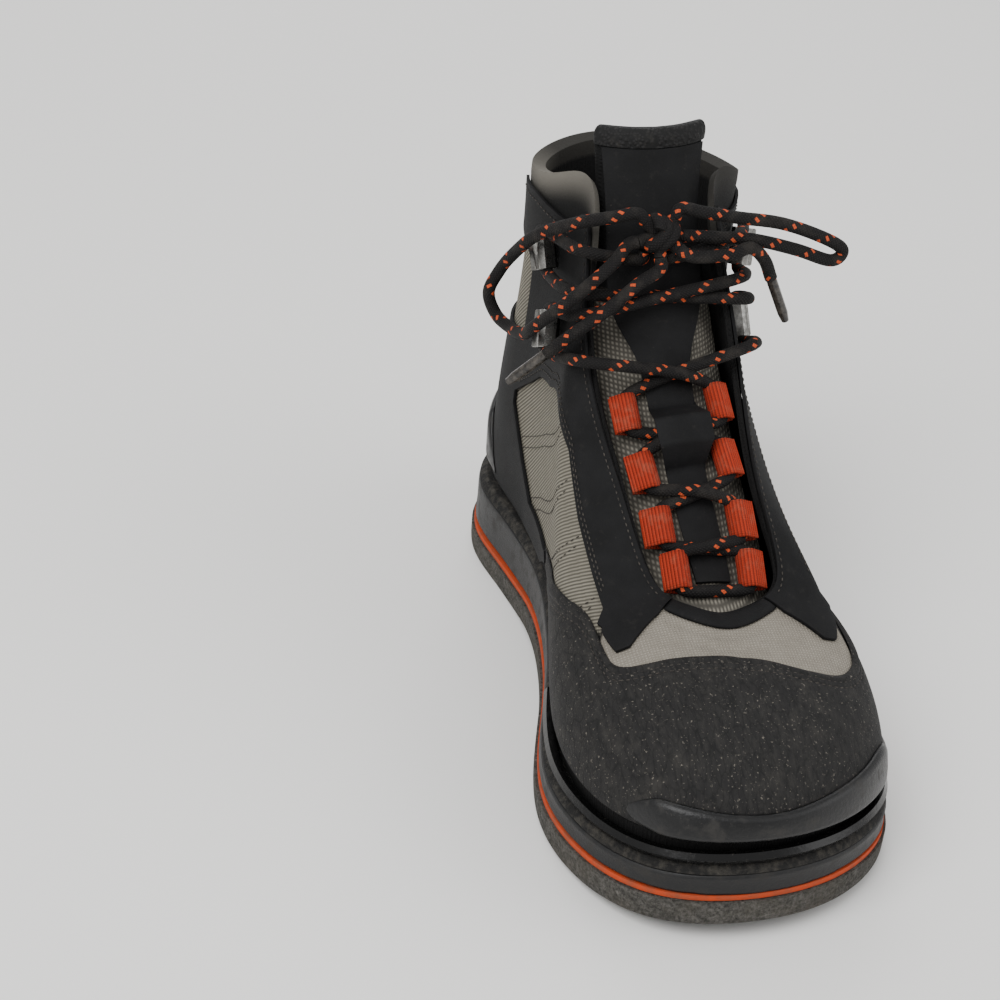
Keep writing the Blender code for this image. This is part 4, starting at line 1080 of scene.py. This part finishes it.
# Shares of the wall's height: the rounding at both edges, and below the rand's edge the two sewn
# grooves, their width, and the hem's place and width
TOP_ROUND = 0.030
LOW_ROUND = 0.020
SEWN = (0.030, 0.052)
GROOVE_WIDTH = 0.007
HEM_PLACE = 0.018
HEM_WIDTH = 0.012


def make_cover(name, start, end, low, high, base, thick, ends=0.25, sewn=(), pinch=0.0):
    """Sheet over the wall between two edges, rounded down at its rim."""
    build, around, part = flat_grid(math.ceil((end - start) * COVER_COLUMNS), 96 if sewn else 48)
    turn = start + (end - start) * around
    if sewn:
        part = 1 - (1 - part) ** 2
    end_gap = np.minimum(turn - start, end - turn)
    bottom, top = low(turn), high(turn)
    if pinch:
        keep = np.sqrt(1 - (1 - np.clip(end_gap / pinch, 0.001, 1)) ** 2)
        middle = (top + bottom) / 2
        half = keep * (top - bottom) / 2
        bottom, top = middle - half, middle + half
    share = bottom + (top - bottom) * part
    down = top - share
    rim = np.clip(np.minimum(down / TOP_ROUND, (share - bottom) / LOW_ROUND), 0, 1)
    profile = np.sqrt(np.clip(1 - (1 - rim) ** 2, 0, 1)) * smooth_step(end_gap / ends)
    height = base + thick * profile
    for place in sewn:
        height = height - GROOVE * np.exp(-((down - place) / GROOVE_WIDTH) ** 2) * profile
    if sewn:
        height = height + HEM_ROLL * np.exp(-((down - HEM_PLACE) / HEM_WIDTH) ** 2) * profile
    shape_grid(build, lifted(turn, share, height))
    piece = finish_piece(name, build)
    thicken(piece, COVER_SKIN, -1.0)
    return piece


def softened(edge, reach=0.24):
    """The same edge with the corners of its table rounded off."""
    return lambda turns: np.mean([edge(turns + step) for step in np.linspace(-reach, reach, 13)], axis=0)


def flat_edge(share):
    """An edge at one share of the wall's height."""
    return lambda turns: np.full_like(turns, share)


# The moulded covers lie over the rand's layer, and their skin reaches down into it.
MOULDED_BASE = 2 * LAYER_CLEAR + OVERLAY - COVER_SKIN
rand = make_cover("toe_rand_nubuck", 4.6, 13.64, RAND_LOW, softened(RAND_TOP),
                  LAYER_CLEAR, OVERLAY, 0.3, SEWN)
dress(rand, RAND, "rand_nubuck", "toe_rand")
bumper = make_cover("bumper_cap", 6.6, 10.5, RAND_LOW, softened(BUMPER_TOP),
                    MOULDED_BASE, BUMPER, 0.7, pinch=0.6)
dress(bumper, BUMPER_SHINE, "moulded_rubber", "toe_bumper")
counter = make_cover("counter_cup", 15.7, 20.3, flat_edge(0.03), COUNTER_TOP,
                     MOULDED_BASE, COUNTER, 0.6, pinch=0.6)
dress(counter, BUMPER_SHINE, "moulded_rubber", "heel_counter")
trim_end = QUARTER_START - SEAM_GAP * 2
trim = make_cover("throat_trim_nubuck", COUNT - trim_end, trim_end, flat_edge(0.925),
                  flat_edge(0.985), LAYER_CLEAR, OVERLAY, 0.08)
dress(trim, NUBUCK, "black_nubuck", "throat_trim")
print("covers:", rand.name, bumper.name, counter.name, trim.name)

# %% [markdown]
# ## Quarters
# A quarter is one piece of nubuck on each side: the eyestay along the throat, the ankle overlay
# and the back, with a window for the side panel and an open stretch at the ankle. A grid is laid
# over the wall with its rows along the named edges, the faces in the windows are deleted, and a
# Solidify and a Bevel give the leather its thickness and its rubbed cut edge.

# %% Quarters
QUARTER_PARTS = (8, 14, 10, 8, 8)
QUARTER_COLUMNS = 260


def quarter_edges(turns, real, mirror):
    """The six edges that frame the windows, from the lowest to the topline."""
    edges = [np.maximum(VAMP_EDGE(turns), 0.02), PANEL_LOW(turns), PANEL_HIGH(turns),
             ANKLE_LOW(turns), ANKLE_HIGH(turns), QUARTER_TOP(turns)]
    beside_rand = (turns > PANEL_START - 0.1) & (turns < LOWER_EDGE_START)
    if mirror:
        edges[1] = np.where(beside_rand, np.maximum(edges[1], RAND_TOP(real) + 0.015), edges[1])
    edges[0] = np.where(beside_rand, edges[1] - 0.01, edges[0])
    edges[2] = np.maximum(edges[2], edges[1] + 0.02)
    return np.stack(edges)


def make_quarter(name, mirror):
    """One side's quarter with its windows open."""
    rows = sum(QUARTER_PARTS)
    build, around, part = flat_grid(QUARTER_COLUMNS, rows)
    turns = QUARTER_START + (COUNT - SEAM_GAP - QUARTER_START) * around
    real = COUNT - turns if mirror else turns
    row = np.round(part * rows)
    stops = np.concatenate([[0], np.cumsum(QUARTER_PARTS)])
    edges = quarter_edges(turns, real, mirror)
    share = np.array([np.interp(here, stops, column) for here, column in zip(row, edges.T)])
    keep_turn = build.verts.layers.float.new("turn")
    keep_row = build.verts.layers.float.new("row")
    for vert, point, around, here in zip(build.verts, lifted(real, share, LAYER_CLEAR + OVERLAY / 2),
                                         turns, row):
        vert.co = point
        vert[keep_turn] = around
        vert[keep_row] = here
    windows = []
    for face in build.faces:
        middle = sum(vert[keep_turn] for vert in face.verts) / 4
        band = np.searchsorted(stops, sum(vert[keep_row] for vert in face.verts) / 4) - 1
        panel = PANEL_START < middle < PANEL_END
        if (panel and band == 1) or (panel and middle < LOWER_EDGE_START and band == 0) \
                or (middle > ANKLE_START and band == 3) or (middle > ANKLE_END and band == 4):
            windows.append(face)
    bmesh.ops.delete(build, geom=windows, context="FACES")
    piece = finish_piece(name, build, 60)
    thicken(piece, OVERLAY)
    edge = piece.modifiers.new("rubbed_edge", "BEVEL")
    edge.width = OVERLAY * 0.35
    edge.segments = 2
    edge.limit_method = "ANGLE"
    edge.angle_limit = math.radians(50)
    return dress(piece, NUBUCK, "black_nubuck", name.replace("_nubuck", ""))


for name, mirror in (("quarter_inner_nubuck", False), ("quarter_outer_nubuck", True)):
    print(name, len(make_quarter(name, mirror).data.polygons), "faces")

# %% [markdown]
# ## The upper's cloth
# Under the overlays the upper is cloth: a warm grey woven panel over the toes, an olive-grey ribbed
# mesh on the sides, a black satin pad round the collar and a dark lining. They are one shell on the
# real boot, so they are one mesh here: a grid with one side running round the boot and the other up
# the outer face, over the rim and down the lining. Each vertex keeps how much of each cloth its turn
# and share give it, and the material uses that to choose the cloth.

# %% Upper shell
UPPER_ROUND = 432
UPPER_RISE = 96
RIM_ROUND = 0.12
# Creases across the vamp: first and last turn, share of the height and depth in metres
VAMP_CREASES = [(8.35, 9.95, .845, .0011), (7.9, 10.3, .895, .0008), (10.9, 12.9, .60, .0006)]


def upper_point(turn, height):
    """Point of the shell: height 0 to 1 climbs the outer face, 1 to 2 comes down the lining."""
    outer = height <= 1.0
    share = np.where(outer, height, 2.0 - height)
    depth = np.where(outer, 0.0, wall_thickness(turn, share))
    swell = np.zeros_like(share)
    for start, end, place, deep in VAMP_CREASES:
        inside = smooth_step((turn - start) / 0.4) * smooth_step((end - turn) / 0.4)
        swell -= deep * inside * np.exp(-((share - place) / 0.014) ** 2)
    rim = wall_thickness(turn, share) / 2
    near_rim = np.clip(1 - np.abs(height - 1.0) / 0.02, 0, 1)
    points = lifted(turn, share, np.where(outer, swell * 0.8, -depth))
    centre = lifted(turn, np.ones_like(share), -rim)
    pull = RIM_ROUND * near_rim[..., None]
    return points * (1 - pull) + centre * pull


ZONES = ("woven", "ribbed", "satin", "dust_and_sheen")


def cloth_zones(turn, height):
    """How much of each cloth a point of the shell shows; what no zone claims is dark lining."""
    outside = height <= 1.0
    inner = np.where(turn < COUNT / 2, COUNT - turn, turn)
    woven = (height < 0.955) & (inner < 11.25) & (height > RAND_TOP(turn) - 0.08)
    window = (inner > PANEL_START - 0.05) & (inner < PANEL_END + 0.1)
    ribbed = outside & window & (height > PANEL_LOW(inner) - 0.03) & (height < PANEL_HIGH(inner) + 0.05)
    ankle = outside & (inner > ANKLE_START - 0.1) & (height > ANKLE_LOW(inner) - 0.05) & (height < 0.80)
    satin = (height > 0.80) & (height < 1.05) & (inner > 13.4)
    # Painted lighter over the collar's rounded top, most on the inner ankle toward the key light: partly
    # dust and fading, partly a painted highlight.
    top = smooth_step((height - 0.93) / 0.07) * np.clip(1.3 - np.abs(turn - 14.9) / 1.6, 0.15, 1)
    return {"woven": woven.astype(float), "ribbed": (ribbed | ankle).astype(float),
            "satin": satin.astype(float), "dust_and_sheen": top}


def make_upper():
    """The hollow upper as one closed shell, with the zones that its turn and share give kept on each
    vertex.
    """
    build, around, up = flat_grid(UPPER_ROUND, UPPER_RISE * 2)
    turn = around * COUNT
    height = up * 2.0
    shape_grid(build, upper_point(turn, height))
    for zone, mask in cloth_zones(turn, height).items():
        mark = build.verts.layers.float.new(zone)
        for vert, amount in zip(build.verts, mask):
            vert[mark] = amount
    rims = [edge for edge in build.edges if len(edge.link_faces) == 1]
    bmesh.ops.remove_doubles(build, verts=list({v for edge in rims for v in edge.verts}), dist=1e-6)
    low = [edge for edge in build.edges if len(edge.link_faces) == 1]
    bmesh.ops.bridge_loops(build, edges=low)
    return finish_piece("upper_cloth", build, 60)


def cloth_material():
    """Woven vamp, ribbed side mesh, satin collar pad and dark lining in one material."""
    shade, tree, shader = start_material("upper_cloths", 0.88, 0.25)
    where = add(tree, "ShaderNodeTexCoord", out="Object")
    across = add(tree, "ShaderNodeSeparateXYZ", {"Vector": where})
    back = add(tree, "ShaderNodeSeparateXYZ", {"Vector": where}, 1)
    climb = add(tree, "ShaderNodeSeparateXYZ", {"Vector": where}, 2)
    zones = {zone: add(tree, "ShaderNodeAttribute", out=2, attribute_name=zone) for zone in ZONES}
    slant = add(tree, "ShaderNodeMath", {0: back, 1: climb}, operation="ADD")
    rib = ribs(tree, slant, 2.0)
    weave = add(tree, "ShaderNodeMath", {0: ribs(tree, across, 1.2), 1: ribs(tree, back, 1.2)},
                operation="MULTIPLY")
    mottle = cloud(tree, where, 7.0, 0.4, 0.75)
    fine = cloud(tree, where, 0.8, 0.35, 0.7)
    woven = layer(tree, weave, "807a70", "a39d92")
    woven = layer(tree, mottle, woven, "6f695f", 0.35)
    side = layer(tree, rib, "4a4740", "8a8578")
    side = layer(tree, mottle, side, "5f5b51", 0.4)
    # The satin pad is painted lighter over its rounded top: partly dust and fading, partly a painted
    # highlight.
    satin = layer(tree, zones["dust_and_sheen"], "0b0b0b", "77736b", 0.8)
    colour = layer(tree, fine, "090909", "151414")
    for zone, paint in (("woven", woven), ("ribbed", side), ("satin", satin)):
        colour = layer(tree, zones[zone], colour, paint)
    height = add(tree, "ShaderNodeMix", {0: zones["ribbed"], 2: weave, 3: rib})
    height = add(tree, "ShaderNodeMix", {0: zones["satin"], 2: height, 3: 0.5})
    wire(tree, shader, colour, [(fine, 0.15), (height, 0.4)])
    return shade


CLOTH = cloth_material()
upper = dress(make_upper(), CLOTH, "grey_fabric", "upper")
print("upper:", len(upper.data.polygons), "faces")

# %% [markdown]
# ## Tongue and footbed
# The tongue is padded mesh with a taped edge. It could be a solid with rounded corners, but a grid
# wrapped into an oval section follows the arched front exactly, and its rows crowd together near
# the top, where it rounds off. The binding is a second, slightly fatter strip over the top. The
# footbed is the solid's own shape, rounded, in a dark knit.

# %% Tongue
# Height in metres where the mesh turns black, and sizes of the strips
TONGUE_BLACK = 0.155
PAD_CORNER = 0.075
TONGUE_TOP = TONGUE_ROWS[-1][1]
BINDING_LOW = 1.175


def tongue_material():
    """Tongue cloth: grey mesh at the gussets, black where the padded top begins."""
    shade, tree, shader = start_material("tongue_mesh", 0.9, 0.25)
    where = add(tree, "ShaderNodeTexCoord", out="Object")
    across = add(tree, "ShaderNodeSeparateXYZ", {"Vector": where})
    climb = add(tree, "ShaderNodeSeparateXYZ", {"Vector": where}, 2)
    weave = add(tree, "ShaderNodeMath", {0: ribs(tree, across, 1.5), 1: ribs(tree, climb, 1.5)},
                operation="MULTIPLY")
    colour = layer(tree, weave, "4d4a44", "8d887d")
    colour = layer(tree, cloud(tree, where, 8.0, 0.45, 0.75), colour, "35322e", 0.5)
    top = add(tree, "ShaderNodeMapRange", {
        "Value": climb, "From Min": TONGUE_BLACK, "From Max": TONGUE_BLACK + 0.003})
    wire(tree, shader, layer(tree, top, colour, "0d0d0d"), [(weave, 0.35)])
    return shade


def binding_material():
    """Binding tape: black, with a pebbled texture."""
    shade, tree, shader = start_material("pebbled_binding", 0.7, 0.3)
    where = add(tree, "ShaderNodeTexCoord", out="Object")
    pebble = add(tree, "ShaderNodeTexVoronoi", {"Vector": where, "Scale": 1000 / 1.6})
    raised = add(tree, "ShaderNodeMapRange", {"Value": pebble, "From Min": 0.6, "From Max": 0.1})
    colour = layer(tree, raised, "080808", "1a1919")
    colour = layer(tree, cloud(tree, where, 4.0, 0.55, 0.8), colour, "3a3733", 0.5)
    wire(tree, shader, colour, [(raised, 0.45)])
    return shade


def make_pad(name, low, high, swell, shade, slot, node):
    """Padded strip of the tongue between two places: a flat oval section with a rounded top."""
    build, around, part = flat_grid(96, 90)
    angle = 2 * math.pi * around
    place = low + (high - low) * (1 - (1 - part) ** 1.6)
    near_top = np.clip((place - (high - PAD_CORNER)) / PAD_CORNER, 0, 1)
    round_top = np.sqrt(np.clip(1 - near_top ** 2, 0.0, 1))
    cosine, sine = np.cos(angle), np.sin(angle)
    side = np.sign(cosine) * np.abs(cosine) ** 0.35 * (0.90 + 0.10 * round_top)
    half = TONGUE_THICK / 2 + swell
    depth = TONGUE_THICK / 2 - np.sign(sine) * np.abs(sine) ** 0.6 * half * (0.15 + 0.85 * round_top)
    shape_grid(build, tongue_face(place, side, depth))
    bmesh.ops.remove_doubles(build, verts=build.verts[:], dist=1e-6)
    bmesh.ops.holes_fill(build, edges=build.edges[:], sides=0)
    return dress(finish_piece(name, build, 70), shade, slot, node)


TONGUE = tongue_material()
BINDING = binding_material()
make_pad("tongue_pad", TONGUE_ROWS[0][1], TONGUE_TOP - 0.01, 0.0, TONGUE, "grey_fabric", "tongue")
make_pad("tongue_band", BINDING_LOW, TONGUE_TOP, OVERLAY + TONGUE_CLEAR * 0.5,
         BINDING, "black_nubuck", "tongue_binding")
FOOTBED = rubber_material("knitted_footbed", 0.92, "141313", "35322e", 0.45, 1.4, 0.3, 10.0)
dress(smooth_copy("insole", "footbed", 2, 0.8), FOOTBED, "insole_board", "insole")
print("tongue and footbed dressed")

# %% [markdown]
# ## Webbing loops
# Each lace loop is a short piece of ribbed webbing, folded round the lace with both ends sewn under
# the eyestay. Its section is a drop: two flat legs and a round fold. A grid is wrapped along that
# section, so its UV map runs along the tape and across it, and the ribs follow the tape.

# %% Webbing loops
LOOP_STEPS = 144
TAPE_TRIM = 0.0004
# The fold's half turn in degrees, a little more than a quarter circle each way
FOLD_TURN = 112
# Spacing and height of the tape's ribs, in metres
RIB_PITCH = 0.0013
RIB_RELIEF = 0.00012


def loop_section(start, run_length):
    """Middle line of the folded tape, from one end round the fold to the other."""
    radius = LOOP_INSIDE + WEBBING_THICK / 2
    arc = np.radians(np.linspace(FOLD_TURN, -FOLD_TURN, 30))
    root_half = WEBBING_THICK / 2 + 0.0001
    leg = np.linspace(0, 1, 22, endpoint=False)[:, None]
    first = np.array([start + WEBBING_THICK / 2, root_half])
    bend = np.column_stack([run_length + radius * np.cos(arc), radius * np.sin(arc)])
    upper_leg = first + (bend[0] - first) * leg
    lower_leg = (first + (bend[0] - first) * leg)[::-1] * (1, -1)
    return np.vstack([upper_leg, bend, lower_leg])


def make_loop(name, side, place):
    """One tape loop, with ribs that run along the lace."""
    root, start, run_length, run, off, climb = loop_frame(place, side)
    line = loop_section(start, run_length)
    share = np.linspace(0, 1, len(line))
    line = np.column_stack([np.interp(np.linspace(0, 1, LOOP_STEPS + 1), share, axis) for axis in line.T])
    along_line = distances(line)
    slope = unit(np.gradient(line, axis=0))
    normal = np.column_stack([-slope[:, 1], slope[:, 0]])
    line = line + normal * (np.cos(2 * math.pi * along_line / RIB_PITCH) * RIB_RELIEF)[:, None]
    build, part, width = flat_grid(LOOP_STEPS, 6, calc_uvs=True)
    step = np.round(part * LOOP_STEPS).astype(int)
    across = (width - 0.5) * (WEBBING_WIDTH - TAPE_TRIM)
    x, y = line[step].T
    shape_grid(build, root + np.outer(x, run) + np.outer(y, off) + np.outer(across, climb))
    write_uv(build, along_line[step], across)
    piece = finish_piece(name, build)
    thicken(piece, WEBBING_THICK * 0.8)
    return piece


def webbing_material():
    """Ribbed polyester webbing: orange-red, with painted shade between the ribs, and a little dust."""
    shade, tree, shader = start_material("ribbed_webbing", 0.85, 0.25)
    where = add(tree, "ShaderNodeTexCoord", out="Object")
    tape_map = add(tree, "ShaderNodeTexCoord", out="UV")
    down = add(tree, "ShaderNodeSeparateXYZ", {"Vector": tape_map})
    side = add(tree, "ShaderNodeSeparateXYZ", {"Vector": tape_map}, 1)
    rib = ribs(tree, down, RIB_PITCH * 1000)
    thread = ribs(tree, side, 0.9)
    # Painted shade: the tape is darker in the grooves between its ribs.
    colour = layer(tree, rib, "651a0d", "aa3318")
    colour = layer(tree, thread, colour, "8e2a14", 0.25)
    colour = layer(tree, cloud(tree, where, 5.0, 0.5, 0.8), colour, "9a6a52", 0.35)
    wire(tree, shader, colour, [(rib, 0.25), (thread, 0.10)])
    return shade


WEBBING = webbing_material()
for side_name, side in SIDES.items():
    for number, place in LOOP_PLACES.items():
        node = f"loop_{side_name}_{number}"
        dress(make_loop(node + "_tape", side, place), WEBBING, "orange_webbing", node)
print("loops:", 2 * len(LOOP_PLACES))

# %% [markdown]
# ## Hooks
# The speed hooks are pressed from thin steel plate, curled back over the lace and nickel-plated, so
# that they don't rust in a river. The solid already has the curl, so a rounded copy is enough, with
# edges creased only by half: a pressed plate has small soft edges. Nickel is a warm grey metal, and
# handling leaves a film that dulls it in patches.

# %% Hooks
def nickel_material():
    """Nickel-plated steel: bright grey, brushed by wear, with a smoky film."""
    shade, tree, shader = start_material("nickel_plated_steel", 0.28, Metallic=1.0)
    where = add(tree, "ShaderNodeTexCoord", out="Object")
    film = cloud(tree, where, 3.0, 0.3, 0.75)
    dull = add(tree, "ShaderNodeMapRange", {"Value": film, "To Min": 0.18, "To Max": 0.45})
    wire(tree, shader, layer(tree, film, "a3a29e", "4a4845"), [(film, 0.05)], dull)
    return shade


NICKEL = nickel_material()
for side_name in SIDES:
    for height in HOOK_PLACES:
        node = f"hook_{side_name}_{height}"
        dress(smooth_copy(node, node + "_plate", 2, 0.55), NICKEL, "nickel", node)
print("hooks:", 2 * len(HOOK_PLACES))

# %% [markdown]
# ## Stitches
# A sewn line is what makes separate panels read as one boot. One stitch is a small rounded bar of
# thread; a row is that bar repeated along a path at the machine's pitch, about 2.6 mm on work boots.
# All the rows of one colour are joined into a single mesh, so the scene stays light.

# %% Stitch rows
STITCH_PITCH = 0.0027
STITCH_LENGTH = 0.0019
STITCH_RADIUS = 0.00032
STITCH_SIZE = Matrix.Diagonal((STITCH_LENGTH, STITCH_RADIUS * 2, STITCH_RADIUS * 1.6, 1.0))
# How far ahead along a row its direction is read
STITCH_AHEAD = 0.0004


def stitch_rows(name, rows):
    """Bars of thread along paths; each row is points and the outward direction at each."""
    build = bmesh.new()
    for points, normals in rows:
        far = distances(points)
        stops = np.arange(STITCH_PITCH / 2, far[-1], STITCH_PITCH)
        spot = np.column_stack([np.interp(stops, far, axis) for axis in points.T])
        ahead = np.column_stack([np.interp(stops + STITCH_AHEAD, far, axis) for axis in points.T])
        out = np.column_stack([np.interp(stops, far, axis) for axis in normals.T])
        for here, there, normal in zip(spot, ahead, out):
            way = Vector(there - here).normalized()
            normal = Vector(normal).normalized()
            side = normal.cross(way).normalized()
            turn = Matrix((way, side, way.cross(side))).transposed().to_4x4()
            made = bmesh.ops.create_cube(build, size=1.0)
            place = Matrix.Translation(Vector(here)) @ turn @ STITCH_SIZE
            bmesh.ops.transform(build, matrix=place, verts=made["verts"])
    piece = finish_piece(name, build)
    subdivide(piece, 1)
    return piece


def wall_row(turns, shares, height):
    """A row on the upper's wall at a height above it."""
    turns = np.asarray(turns, float)
    shares = np.asarray(shares, float)
    return lifted(turns, shares, np.full_like(turns, height)), wall_normal(turns, shares)


def edge_rows(edge, start, end, offsets, height, points=160):
    """Rows beside an overlay's edge, a share above or below it."""
    turns = np.linspace(start, end, points)
    return [wall_row(turns, np.clip(edge(turns) + offset, 0, 1), height) for offset in offsets]


def thread_material(name, low, high):
    """Waxed thread: twisted strands catch light and dust along each stitch."""
    shade, tree, shader = start_material(name, 0.7, 0.3)
    where = add(tree, "ShaderNodeTexCoord", out="Object")
    strands = cloud(tree, where, 0.6, 0.4, 0.6)
    wire(tree, shader, layer(tree, strands, low, high), [(strands, 0.08)])
    return shade


def share_at(turns, heights):
    """Share of the wall, at each turn, that lies at a height above the floor."""
    shares = np.linspace(0, 1, 80)
    return np.array([np.interp(height, wall(turn, shares)[:, 2], shares)
                     for turn, height in zip(turns, heights)])


# Rows on each quarter: the edge they follow, first and last turn, points, and the share above it
QUARTER_SEAMS = [
    (PANEL_HIGH, 11.45, 15.20, 120, 0.022),
    (PANEL_HIGH, 11.45, 15.20, 120, 0.040),
    (QUARTER_TOP, 13.60, 15.95, 90, -0.020),
    (flat_edge(0.955), 10.70, 13.50, 120, 0.0),
]
# Turns and heights above the floor of the double rows across the side panel, from throat to heel
PANEL_ROWS = [
    ((13.02, 15.12), (.1135, .0710)),
    ((12.56, 14.56), (.0987, .0545)),
    ((12.12, 13.80), (.0877, .0480)),
    ((11.54, 12.05), (.0776, .0680)),
]
# Share between the two rows of a double row, and heights of thread over leather and over cloth
DOUBLE_ROW = 0.035
OVER_LEATHER = LAYER_CLEAR + OVERLAY + STITCH_RADIUS * 0.5
OVER_CLOTH = STITCH_RADIUS * 0.6


def side_rows(mirrored):
    """All rows on one side of the boot; the outer side mirrors the inner side's turns."""
    rows = []
    for edge, start, end, points, offset in QUARTER_SEAMS:
        turns = np.linspace(start, end, points)
        rows.append(wall_row(COUNT - turns if mirrored else turns, edge(turns) + offset, OVER_LEATHER))
    for ends, heights in PANEL_ROWS:
        turns = np.linspace(*ends, 50)
        shares = share_at(turns, np.linspace(*heights, 50))
        for shift in (0.0, -DOUBLE_ROW):
            rows.append(wall_row(COUNT - turns if mirrored else turns, shares + shift, OVER_CLOTH))
    return rows


hem = edge_rows(softened(RAND_TOP), 5.2, 13.3, (-SEWN[0], -SEWN[1]), LAYER_CLEAR + OVERLAY)
dark_thread = thread_material("dark_waxed_thread", "24211f", "4d4842")
dark_rows = [*hem, *side_rows(False), *side_rows(True)]
dress(stitch_rows("dark_stitches", dark_rows), dark_thread, "black_nubuck")
pale_thread = thread_material("pale_waxed_thread", "6f6a62", "b5afa5")
pale_rows = edge_rows(flat_edge(0.945), 8.05, 9.95, (0.0,), OVER_LEATHER, 60)
dress(stitch_rows("pale_stitches", pale_rows), pale_thread, "black_nubuck")
print("rows of stitches:", len(dark_rows) + len(pale_rows))

# %% [markdown]
# ## Stage
# The boot stands on a plain pale floor. Soft studio light is one large panel above and to the side,
# a weaker one opposite and an even grey world, which keeps shadows open but still shows the relief.

# %% Floor and lights
FLOOR_SIZE = 6.0
AIM = Vector((0, 0, 0.08))
# Place of each light in metres, the side of its panel and its power in watts
LIGHTS = {
    "key_panel": ((-0.9, -0.7, 1.5), 1.2, 30),
    "fill_panel": ((1.3, -0.5, 0.9), 1.4, 9),
    "back_panel": ((0.2, 1.4, 1.2), 1.0, 10),
}
WORLD_STRENGTH = 0.9


def make_floor():
    """Plain pale floor."""
    build = bmesh.new()
    bmesh.ops.create_grid(build, x_segments=1, y_segments=1, size=FLOOR_SIZE / 2)
    piece = finish_piece("floor", build)
    shade, tree, shader = start_material("pale_floor", 0.9, 0.1)
    shader.inputs["Base Color"].default_value = linear("f2f1ef")
    piece.data.materials.append(shade)


def make_light(name, place, size, watts):
    """Square area light that looks at the boot."""
    data = bpy.data.lights.new(name, "AREA")
    data.size = size
    data.energy = watts
    light = bpy.data.objects.new(name, data)
    light.location = place
    light.rotation_euler = (AIM - Vector(place)).to_track_quat("-Z", "Y").to_euler()
    bpy.context.scene.collection.objects.link(light)


make_floor()
for name, row in LIGHTS.items():
    make_light(name, *row)
world = bpy.data.worlds.new("studio")
world.use_nodes = True
background = world.node_tree.nodes["Background"]
background.inputs["Color"].default_value = linear("dcdcdc")
background.inputs["Strength"].default_value = WORLD_STRENGTH
bpy.context.scene.world = world
print("lights:", len(LIGHTS))
